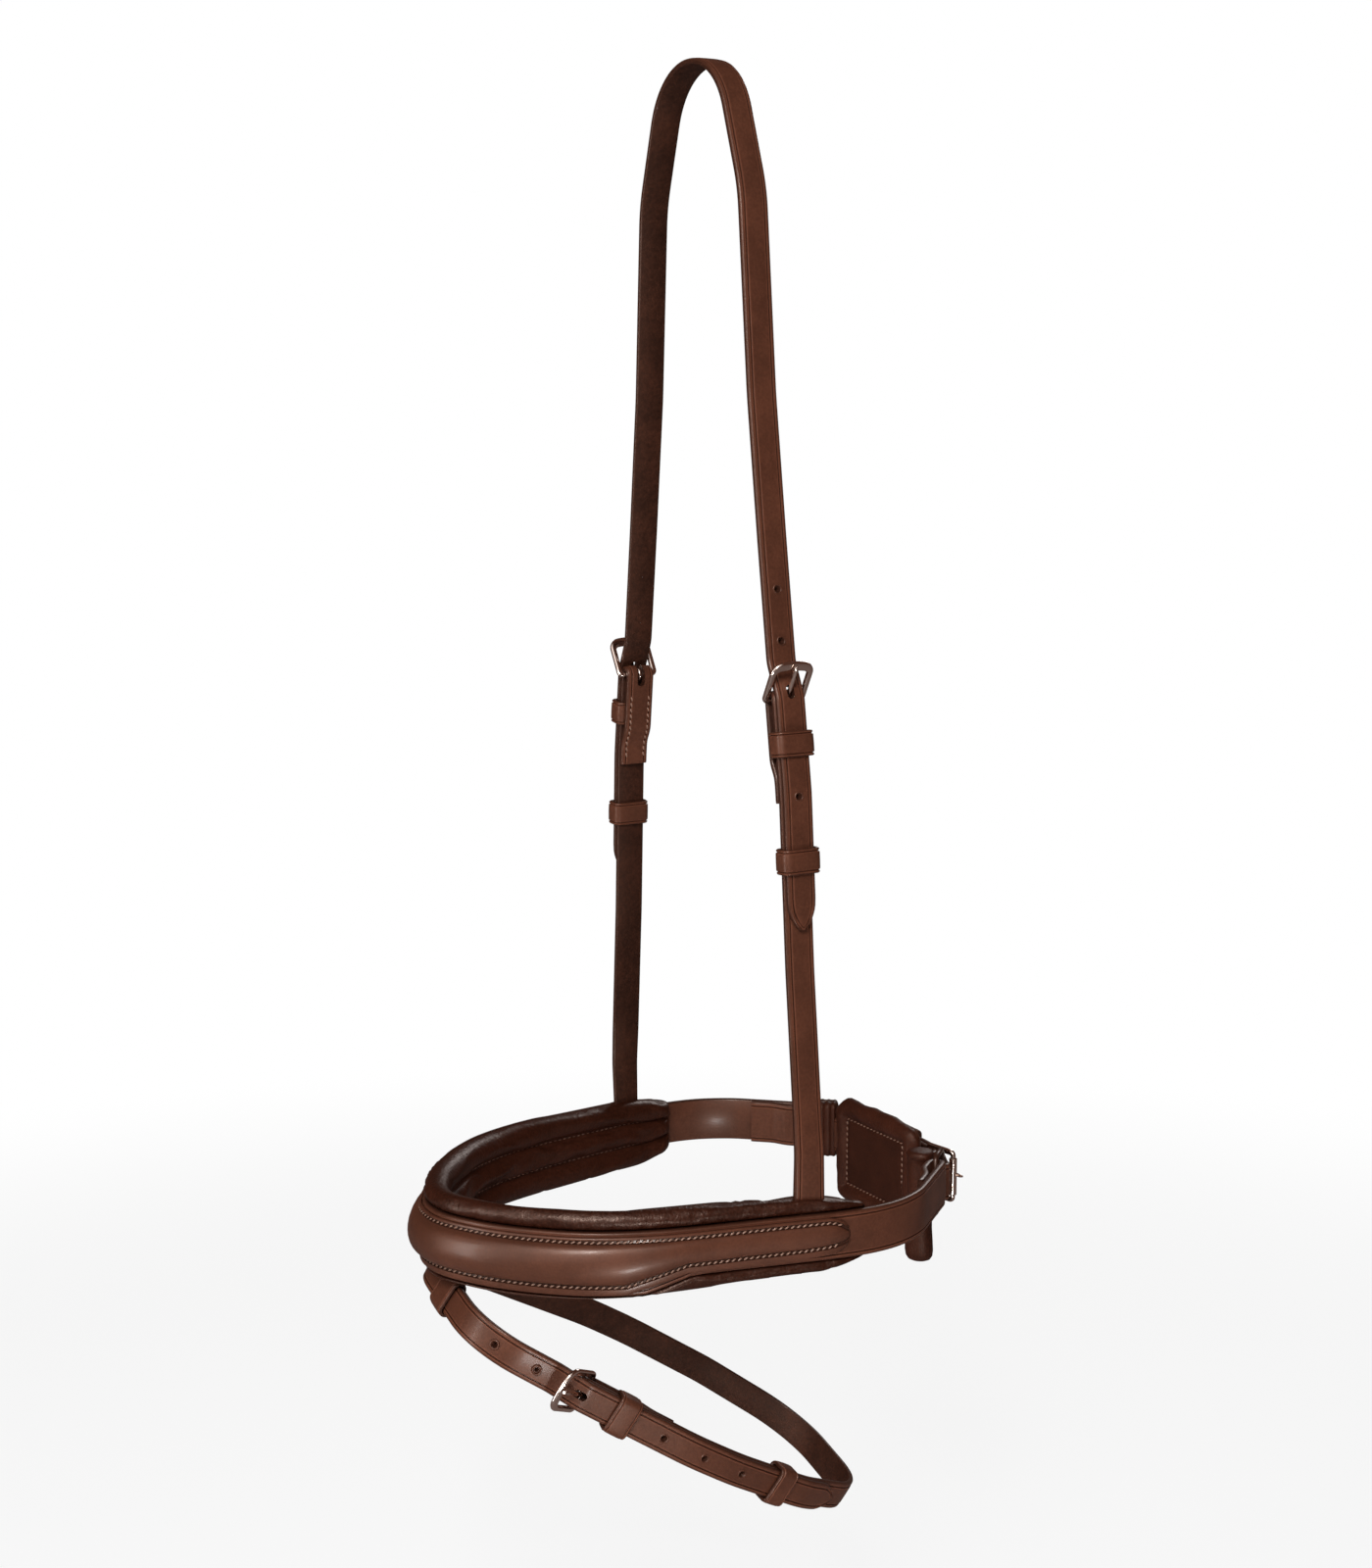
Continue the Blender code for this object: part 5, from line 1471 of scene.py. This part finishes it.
def cover_profile(reach):
    """The raised cover's section: a thin skirt on the base strap, a sewn groove and a full dome."""
    full = eased(reach, COVER_REACH, 0.5 * BASE_HEIGHT)
    bottom, top = table(COVER_BOTTOMS, reach), COVER_TOP
    middle, half = (top + bottom) / 2, (top - bottom) / 2 * grown(COVER_END_SHARES[0], full)
    rise = table(COVER_RISES, reach) * grown(COVER_END_SHARES[1], full)
    sides, seams = [], []
    for margin in COVER_MARGINS:
        skirt = min(margin, half * COVER_SKIRT_SHARE)
        groove = half - skirt
        points = [(GAP + COVER_SKIN * level, -half + skirt * across) for level, across in COVER_OUTLINE[:3]]
        points += [
            (GAP + COVER_SKIN * level, -groove - COVER_SKIRT * (1 - across))
            for level, across in COVER_OUTLINE[3:]
        ]
        start = points[-1][1]
        shoulder = COVER_SKIN * COVER_SHOULDER
        for share in COVER_DOME:
            lift = math.sqrt(1 - (1 - share) ** 2)
            points.append((GAP + shoulder + (rise - shoulder) * lift, start * (1 - share)))
        sides.append(points)
        seams.append(groove + COVER_SKIRT * COVER_SEAM_SHARE)
    mirrored = [(n, -z) for n, z in reversed(sides[1][:-1])]
    profile = [(n, middle + z) for n, z in sides[0] + mirrored]
    return profile, [middle - seams[0], middle + seams[1]], GAP + COVER_SKIN * COVER_SEAM_LEVEL


class NOSEBAND_OT_raised_cover(bpy.types.Operator):
    """Make the raised cover on the base strap's face, with its rows of stitches"""

    bl_idname = "noseband.raised_cover"
    bl_label = "Raised cover"

    def execute(self, context):
        run = ring_run()
        middle = run.length / 2
        shares = [*COVER_ENDS, *np.linspace(COVER_ROWS_SHARE, 0, COVER_ROWS)]
        shares = [-share for share in shares] + shares[-2::-1]
        rows, lines = [], [([], []), ([], [])]
        for reach in [share * COVER_REACH for share in shares]:
            profile, seams, level = cover_profile(reach)
            rows.append([run.point(middle + reach, n, z) for n, z in profile])
            if abs(reach) < COVER_REACH * COVER_SEAM_REACH:
                for (points, outward), seam in zip(lines, reversed(seams)):
                    points.append(run.point(middle + reach, level, seam))
                    outward.append(run.outward(middle + reach))
        columns = len(rows[0])
        # Painted shade: the faces of the sewn groove on both sides take the dark edge finish, so the stitches
        # lie in a dark valley
        painted_groove_shade = (3, 4, 5, columns - 7, columns - 6, columns - 5)
        cover = grid_piece(
            "raised_cover_leather", rows, ("raised", "edge"), "noseband", ("raised_nose_cover",), sharp=60,
            slots=[int(i in painted_groove_shade) for i in range(columns)], wrap_columns=True, capped=True,
        )
        sewn("cover_stitching", lines, "noseband", COVER_STITCH_SLANT, COVER_STITCH_PITCH)
        return {"FINISHED"}


def roll_depth(down):
    """The lining's depth across the pad, as a share: three rolls with a sewn channel between each two."""
    bounds = (0.0, *PAD_SEAMS, 1.0)
    for low, high, peak in zip(bounds, bounds[1:], PAD_ROLL_PEAKS):
        if low <= down <= high:
            share = (down - (low + high) / 2) / ((high - low) / 2)
            outer = (low == 0.0 and share < 0) or (high == 1.0 and share > 0)
            floor = PAD_EDGE_SHARE if outer else PAD_SEAM_SHARE
            return floor + (peak - floor) * math.sqrt(max(1 - share * share, 0)) ** PAD_ROLL_FULLNESS


def pad_profile(reach, shares):
    """The pad's inner side at a distance from the nose, from top to bottom."""
    full = eased(reach, PAD_REACH, PAD_DEEP)
    top, bottom = pad_edges(reach)
    depth = PAD_DEEP * grown(PAD_END_SHARE, full)
    firm = 1 if abs(reach) < PAD_REACH - PAD_END_REACH else max(full, PAD_END_FIRM)
    spots = []
    for down in shares:
        share = roll_depth(down) * firm + PAD_END_DEPTH * (1 - firm)
        spots.append((-BASE_THICK - GAP - depth * share, top - (top - bottom) * down))
    return spots


def pad_edges(reach):
    """The pad's top and bottom, drawn in to the base strap's own edges towards the pad's ends."""
    near_end = 1 - eased(reach, PAD_REACH, PAD_TAPER)
    top, bottom = table(PAD_TOPS, reach), table(PAD_BOTTOMS, reach)
    strap_bottom = BASE_TOP - table(BASE_HEIGHTS, reach)
    return top + (BASE_TOP - top) * near_end * PAD_DRAWN_IN, bottom + (strap_bottom - bottom) * near_end


def pad_section(reach, shares):
    """The pad all round: rolls that swell out over and under the base strap's edges, and the inner side."""
    top, bottom = pad_edges(reach)
    front = -BASE_THICK - GAP
    swell = PAD_SWELL * eased(reach, PAD_REACH, PAD_TAPER)
    over, under = BASE_TOP + GAP, BASE_TOP - table(BASE_HEIGHTS, reach) - GAP
    outer = [(front + out * swell, over + (top - over) * up) for out, up in PAD_LIP]
    lower = [(front + out * swell, under + (bottom - under) * down) for out, down in reversed(PAD_LIP)]
    return outer + pad_profile(reach, shares) + lower


def inflated(obj, pinned):
    """Fill a skin by a short cloth simulation from the places where it is sewn down, and apply it.

    No point ends further than the cap from where it was."""
    before = np.array([vert.co for vert in obj.data.vertices])
    tree = KDTree(len(pinned))
    for i, spot in enumerate(pinned):
        tree.insert(spot, i)
    tree.balance()
    group = obj.vertex_groups.new(name="sewn")
    group.add([i for i, spot in enumerate(before) if tree.find(spot)[2] < GAP], 1.0, "REPLACE")
    cloth = obj.modifiers.new("filling", "CLOTH")
    for key, value in PAD_CLOTH.items():
        setattr(cloth.settings, key, value)
    cloth.settings.effector_weights.gravity = 0.0
    cloth.collision_settings.use_collision = False
    cloth.point_cache.frame_start = 1
    cloth.point_cache.frame_end = PAD_FRAMES
    scene = bpy.context.scene
    for number in range(1, PAD_FRAMES + 1):
        scene.frame_set(number)
    graph = bpy.context.evaluated_depsgraph_get()
    moved = np.array([vert.co for vert in obj.evaluated_get(graph).data.vertices])
    obj.modifiers.clear()
    scene.frame_set(1)
    shift = moved - before
    moved_by = np.linalg.norm(shift, axis=1)
    kept = np.minimum(moved_by, PAD_CAP) / np.maximum(moved_by, 1e-9)
    after = before + shift * kept[:, None]
    obj.data.vertices.foreach_set("co", after.astype(np.float32).ravel())
    obj.data.update()


class NOSEBAND_OT_nose_pad(bpy.types.Operator):
    """Make the nose pad: three filled rolls of soft lining, sewn in channels"""

    bl_idname = "noseband.nose_pad"
    bl_label = "Nose pad"

    def execute(self, context):
        run = ring_run()
        middle = run.length / 2
        shares = [0.0]
        for low, high, count in zip((0, *PAD_SEAMS), (*PAD_SEAMS, 1), PAD_ROLL_POINTS):
            shares += list(np.linspace(low, high, count))[1:]
        ends = [share * PAD_REACH for share in PAD_ENDS]
        between_ends = np.linspace(-PAD_ROWS_SHARE, PAD_ROWS_SHARE, PAD_ROWS) * PAD_REACH
        reaches = [-end for end in ends] + list(between_ends) + ends[::-1]
        rows = []
        for reach in reaches:
            rows.append([run.point(middle + reach, n, z) for n, z in pad_section(reach, shares)])
        pad = grid_piece(
            "nose_pad_lining", rows, ("nappa",), "noseband", ("nose_pad",), "nappa_lining", sharp=ALL_SMOOTH,
            wrap_columns=True, capped=True,
        )
        count = len(PAD_LIP)
        lips = [i for i, (out, _) in enumerate(PAD_LIP) if out < PAD_SEWN_OUT]
        held = lips + [-1 - i for i in lips]
        held += [count + i for i, share in enumerate(shares) if share in PAD_SEAMS]
        sewn_down = [row[i] for row in rows for i in held]
        for row in rows[:3] + rows[-3:]:
            sewn_down += row
        for row, reach in zip(rows, reaches):
            if abs(reach) < PAD_FIRM_REACH:
                sewn_down += row[-count:]
        inflated(pad, sewn_down)
        lines = []
        for down in PAD_SEAMS:
            points, out = [], []
            for reach in np.linspace(-PAD_SEAM_REACH, PAD_SEAM_REACH, PAD_SEAM_POINTS) * PAD_REACH:
                n, z = pad_profile(reach, [down])[0]
                points.append(run.point(middle + reach, n + PAD_SEAM_PROUD, z))
                out.append(-run.outward(middle + reach))
            lines.append((points, out))
        sewn("nose_pad_stitching", lines, "noseband")
        return {"FINISHED"}


class NOSEBAND_OT_jaw_strap(bpy.types.Operator):
    """Make the jaw strap, doubled back inside through both end squares, with its roller buckle"""

    bl_idname = "noseband.jaw_strap"
    bl_label = "Jaw strap and roller buckle"

    def execute(self, context):
        run = jaw_run()
        thick = sizes().strap_thick
        bar = run.distance_at(0, JAW_BAR_ACROSS)
        main_level, over = kit_levels()
        spots, spans = billet(bar, JAW_TIP_REACH, -1, JAW_STEP, JAW_WIDTH)
        wrap = SQUARE_WIRE + GAP + thick / 2
        placed = run.matrix(bar, 0, -1)
        offset = np.array([*NEAR_INNER_BAR, JAW_HEIGHT]) - placed[:3, 3]
        along, out = offset @ placed[:3, 0], offset @ placed[:3, 2]
        spots += arc((bar - along, out), wrap, range(74, -91, -12), -1)
        spots.append((bar - along, out - wrap))
        far = run.distance_at(0, OFF_INNER_BAR[0])
        close = bar + JAW_CLOSES_AT
        spots += [(s, -JAW_INNER) for s in spread(bar - FRAME_LENGTH / 2, close - JAW_CLOSING, JAW_STEP)]
        spots += [(s, -JAW_INNER_CLOSE) for s in spread(close, far, JAW_STEP)]
        far_frame = run.matrix(far, 0, -1)
        shift = (np.array([*OFF_INNER_BAR, JAW_HEIGHT]) - far_frame[:3, 3]) @ far_frame[:3, 2]
        spots += arc((far, shift), wrap, range(-90, 91, 15))
        spots += [(s, main_level) for s in spread(far - JAW_STEP, bar + CREW_REACH, JAW_STEP)]
        spots += chape_spots(bar, -1, JAW_TURN_BACK)[::-1][1:]
        spans += [(-JAW_WIDTH / 2, JAW_WIDTH / 2)] * (len(spots) - len(spans))
        leather_strap(
            "jaw_strap_leather", run, spots, "noseband", ("jaw_strap",), spans=spans, flip=True,
            frames=[fold_slot(placed), tilted_slot(placed, CHIN_SLOT_FROM, CHIN_SLOT_TO)],
        )
        buckle_kit(
            "chin", run, bar, -1, JAW_SLIDER_AT, JAW_WIDTH, JAW_FIXED_AT, JAW_KEEPER_HALF, JAW_SIDE_HALF,
            ROLLER_TILT, True, FRAME_LENGTH + CHIN_TONGUE_PAST, CHIN_TONGUE_RISE,
        )
        roller_tube("chin_buckle_roller", frame_turned(placed, ROLLER_TILT), "chin_roller")
        place = run.matrix(bar + CHIN_LOOP_AT, 0, -1)
        low = -JAW_INNER - thick / 2 - CHIN_LOOP_ROOM
        high = over + thick / 2 + CHIN_LOOP_ROOM
        keeper("chin_pad_loop", place, low, high, JAW_WIDTH / 2 + CHIN_LOOP_ROOM, CHIN_LOOP_HALF, "noseband")
        return {"FINISHED"}


class NOSEBAND_OT_chin_pad(bpy.types.Operator):
    """Make the chin pad with its rolled border, sewn panel and cuff"""

    bl_idname = "noseband.chin_pad"
    bl_label = "Chin pad and cuff"

    def execute(self, context):
        middle = (CHIN_PAD_TOP + CHIN_PAD_BOTTOM) / 2
        half_x, half_z = CHIN_PAD_HALF, (CHIN_PAD_TOP - CHIN_PAD_BOTTOM) / 2
        rows = []
        for inset, share in CHIN_PAD_FORM:
            outline, _ = rounded_outline(half_x - inset, half_z - inset, CHIN_PAD_CORNER - inset)
            soft = CHIN_LUMPS * clamped((CHIN_LUMPS_END - inset) / CHIN_LUMPS_FADE)
            row = []
            for x, z in outline:
                place = Vector((x, CHIN_PAD_INNER + CHIN_PAD_DEEP * share, middle + z))
                coarse, fine = (noise.noise(place * scale) for scale in CHIN_LUMP_SCALES)
                lump = coarse + fine / 2
                away = 1 + soft * lump / math.hypot(x, z)
                row.append((x * away, place[1] - soft * abs(lump) / 2, middle + z * away))
            rows.append(row)
        bm = bmesh.new()
        laid_grid(bm, rows, wrap_columns=True, capped=True)
        for face in bm.faces:
            x, y, z = face.calc_center_median()
            panel = abs(x) < half_x - CHIN_PANEL_INSET and abs(z - middle) < half_z - CHIN_PANEL_INSET
            if y > CHIN_PAD_INNER + CHIN_PAD_DEEP * CHIN_BACK_SHARE:
                face.material_index = 2
            elif panel:
                face.material_index = 1
        pad = shown(
            "chin_pad_lining", bm, ("chin", "suede", "grain"), "noseband", ("chin_pad",), "nappa_lining",
            ALL_SMOOTH,
        )
        outline, _ = rounded_outline(half_x - CHIN_SEAM_INSET, half_z - CHIN_SEAM_INSET, 2 * LEAST_RADIUS)
        level = CHIN_PAD_INNER + CHIN_PAD_DEEP * CHIN_SEAM_SHARE
        line = [(x, level, middle + z) for x, z in outline + outline[:1]]
        sewn("chin_pad_stitching", [(line, [(0.0, -1.0, 0.0)] * len(line))], "noseband", scale=0.8)
        self.cuff()
        return {"FINISHED"}

    def cuff(self):
        """The soft sleeve at the pad's near end, with a piped top and a full foot."""
        rows = []
        bottom = CHIN_PAD_BOTTOM - CHIN_CUFF_DROP - CHIN_CUFF_PROUD
        for up, full in CHIN_CUFF_FORM:
            row = []
            for step in range(CUFF_STEPS):
                turn = 2 * math.pi * step / CUFF_STEPS
                wide = full * (1 + CUFF_CREASE * math.sin(CUFF_CREASES_ROUND * turn + CUFF_CREASES_TURN * up))
                x = CHIN_CUFF_MIDDLE[0] + CHIN_CUFF_HALF[0] * wide * math.cos(turn)
                y = CHIN_CUFF_MIDDLE[1] + CHIN_CUFF_HALF[1] * wide * math.sin(turn)
                row.append((x, y, bottom + (CHIN_CUFF_TOP - bottom) * up))
            rows.append(row)
        cuff = grid_piece(
            "chin_cuff_lining", rows, ("chin",), "noseband", ("chin_pad_cuff",), "nappa_lining",
            sharp=ALL_SMOOTH, wrap_columns=True, capped=True,
        )


class NOSEBAND_OT_flash_strap(bpy.types.Operator):
    """Make the flash strap, its nose loop and its buckle"""

    bl_idname = "noseband.flash_strap"
    bl_label = "Flash strap and buckle"

    def execute(self, context):
        run = flash_run()
        bar = run.distance_at(1, FLASH_BAR_ALONG)
        main_level, level = kit_levels()
        half = sizes().strap_width / 2
        spots, spans = billet(bar, FLASH_TIP_REACH, -1, FLASH_STEP, 2 * half)
        front = spread(bar - BILLET_MEETS[0] - FLASH_STEP, 0.0, FLASH_CORNER_STEP)
        spots += list(zip(front, np.linspace(BILLET_LINE, main_level, len(front))))
        past = [(s, main_level) for s in spread(run.length, bar + CREW_REACH, FLASH_STEP)[1:]]
        past += chape_spots(bar, -1, TURN_BACK)[::-1][1:]
        spots += [(s - run.length, n) for s, n in past]
        spans += [(-half, half)] * (len(spots) - len(spans))
        placed = run.matrix(bar, 0, -1)
        frames = [fold_slot(placed), tilted_slot(placed)]
        for step in FLASH_HOLES:
            n = level if step > 0 else (BILLET_LINE + main_level) / 2
            frames.append(hole(run.matrix(bar - CHEEK_HOLE_REACH + step * HOLE_PITCH, n, -1)))
        leather_strap(
            "flash_strap_leather", LoopedRun(run), spots, "flash", ("flash_strap",), spans=spans, flip=True,
            frames=frames,
        )
        sewn("flash_stitching", turn_back_rows(run, bar, -1), "flash")
        buckle_kit("flash", run, bar, -1, FLASH_SLIDER_AT, strap_body="flash")
        low, high = layer_limits(main_level, main_level)
        place = run.matrix(0.0, 0, 1)
        keeper(
            "flash_loop", place, low - GAP, high + GAP, sizes().strap_width / 2 + GAP, FLASH_LOOP_HALF,
            "flash", FLASH_LOOP_THICK, FLASH_LOOP_CORNER,
        )
        return {"FINISHED"}


class LoopedRun(Run):
    """A closed run, on which a distance below zero is counted back from the end."""

    def __init__(self, run):
        self.__dict__.update(run.__dict__)

    def flat(self, s, n):
        return Run.flat(self, s + self.length if s < 0 else s, n)


class NOSEBAND_OT_stage(bpy.types.Operator):
    """Make the pale floor, the soft lamps, the white surround and the camera"""

    bl_idname = "noseband.stage"
    bl_label = "Studio and camera"

    def execute(self, context):
        self.camera()
        self.floor()
        self.lamps()
        self.surround()
        context.scene.view_settings.view_transform = "Standard"
        return {"FINISHED"}

    def camera(self):
        data = bpy.data.cameras.new("photo_camera")
        data.sensor_width = SENSOR_WIDTH
        data.lens = CAMERA_FOCAL / PHOTO_LONG_SIDE * SENSOR_WIDTH
        data.clip_start, data.clip_end = 0.01, 30.0
        camera = linked("photo_camera", data)
        look = Vector(CAMERA_LOOK).normalized()
        right = look.cross(Vector(CAMERA_UP)).normalized()
        placed = Matrix((right, right.cross(look), -look)).transposed().to_4x4()
        placed.translation = Vector(CAMERA_AT)
        camera.matrix_world = placed
        bpy.context.scene.camera = camera

    def floor(self):
        """A wide pale floor below the hung part: white to the eye, with a soft shadow."""
        bm = bmesh.new()
        bmesh.ops.create_grid(bm, x_segments=1, y_segments=1, size=FLOOR_REACH)
        bmesh.ops.translate(bm, verts=bm.verts, vec=(0, 0, CAD_BOX[0].z - FLOOR_DROP))
        floor = linked("floor", closed_mesh(bm, "floor"))
        pale = Finish("pale_floor")
        pale.done(shade("floor"), 0.9)
        spot = pale.node("ShaderNodeSeparateXYZ", None, {0: pale.coordinates.outputs["Object"]})
        across, along = Value(pale, spot.outputs[0]), Value(pale, spot.outputs[1])
        away = (across * across + along * along).above(SHADOW_REACH ** 2, (2 * SHADOW_REACH) ** 2)
        rays = pale.node("ShaderNodeLightPath").outputs
        eye = Value(pale, rays["Is Camera Ray"]) + Value(pale, rays["Is Transmission Ray"])
        mirror = Value(pale, rays["Is Glossy Ray"])
        seen = eye * (away * (1 - GLOW_SHARE) + GLOW_SHARE) + mirror * GLOW_SHARE
        glow = pale.node("ShaderNodeEmission", None, {
            "Color": pale.mixed(mirror, (1.0, 1.0, 1.0), MIRRORED_DARK), "Strength": 1.0,
        })
        inputs = {0: seen, 1: pale.shader.outputs[0], 2: glow.outputs[0]}
        both = pale.node("ShaderNodeMixShader", None, inputs)
        pale.feed(pale.tree.nodes["Material Output"].inputs[0], both.outputs[0])
        floor.data.materials.append(pale.material)

    def lamps(self):
        """Soft boxes: a large one beside the eye, one from behind and three that draw the glosses."""
        for name, place, target, (wide, tall), power in LAMPS:
            data = bpy.data.lights.new(name, "AREA")
            data.shape = "RECTANGLE"
            data.size, data.size_y, data.energy = wide, tall, power
            lamp = linked(name, data)
            lamp.location = place
            lamp.rotation_mode = "QUATERNION"
            lamp.rotation_quaternion = (Vector(target) - Vector(place)).to_track_quat("-Z", "Y")
            lamp.visible_camera = False

    def surround(self):
        """A dim surround for light: the eye sees it white, glosses see it dark brown with one bright side."""
        world = bpy.data.worlds.new("surround")
        bpy.context.scene.world = world
        world.use_nodes = True
        sky = Nodes(world.node_tree)
        rays = sky.node("ShaderNodeLightPath").outputs
        generated = sky.node("ShaderNodeTexCoord").outputs["Generated"]
        lit = Vector(BRIGHT_TOWARDS).normalized()
        towards = sky.node("ShaderNodeVectorMath", {"operation": "DOT_PRODUCT"}, {0: generated, 1: lit})
        mirror = Value(sky, rays["Is Glossy Ray"])
        bright = Value(sky, towards.outputs["Value"]).above(*BRIGHT_EDGE) * mirror
        seen = (SURROUND, SURROUND, SURROUND)
        white = (1.0, 1.0, 1.0)
        for share, shown_as in ((mirror, MIRRORED_DARK), (bright, MIRRORED_BRIGHT),
                                (rays["Is Transmission Ray"], white), (rays["Is Camera Ray"], white)):
            seen = sky.mixed(share, seen, shown_as)
        back = sky.tree.nodes["Background"]
        sky.feed(back.inputs["Color"], seen)
        back.inputs["Strength"].default_value = 1.0


STEPS = (
    NOSEBAND_OT_stage, NOSEBAND_OT_head_strap, NOSEBAND_OT_cheek_straps, NOSEBAND_OT_cheek_buckles,
    NOSEBAND_OT_base_strap, NOSEBAND_OT_raised_cover, NOSEBAND_OT_nose_pad, NOSEBAND_OT_jaw_strap,
    NOSEBAND_OT_chin_pad, NOSEBAND_OT_flash_strap,
)


class NOSEBAND_PT_panel(bpy.types.Panel):
    """Lists the sizes, the colours and the making steps"""

    bl_idname = "NOSEBAND_PT_panel"
    bl_label = "Bridle noseband"
    bl_space_type = "VIEW_3D"
    bl_region_type = "UI"
    bl_category = "Noseband"

    def draw(self, context):
        for group in (context.scene.noseband_sizes, context.scene.noseband_colours):
            for key in group.__annotations__:
                self.layout.prop(group, key)
        for step in STEPS:
            self.layout.operator(step.bl_idname)


CLASSES = (NosebandSizes, NosebandColours, *STEPS, NOSEBAND_PT_panel)


def register():
    for kind in CLASSES:
        bpy.utils.register_class(kind)
    bpy.types.Scene.noseband_sizes = bpy.props.PointerProperty(type=NosebandSizes)
    bpy.types.Scene.noseband_colours = bpy.props.PointerProperty(type=NosebandColours)


def unregister():
    del bpy.types.Scene.noseband_colours
    del bpy.types.Scene.noseband_sizes
    for kind in reversed(CLASSES):
        bpy.utils.unregister_class(kind)


def main():
    register()
    bpy.ops.noseband.stage()
    bpy.ops.noseband.head_strap()
    bpy.ops.noseband.cheek_straps()
    bpy.ops.noseband.cheek_buckles()
    bpy.ops.noseband.base_strap()
    bpy.ops.noseband.raised_cover()
    bpy.ops.noseband.nose_pad()
    bpy.ops.noseband.jaw_strap()
    bpy.ops.noseband.chin_pad()
    bpy.ops.noseband.flash_strap()


if __name__ == "__main__":
    main()
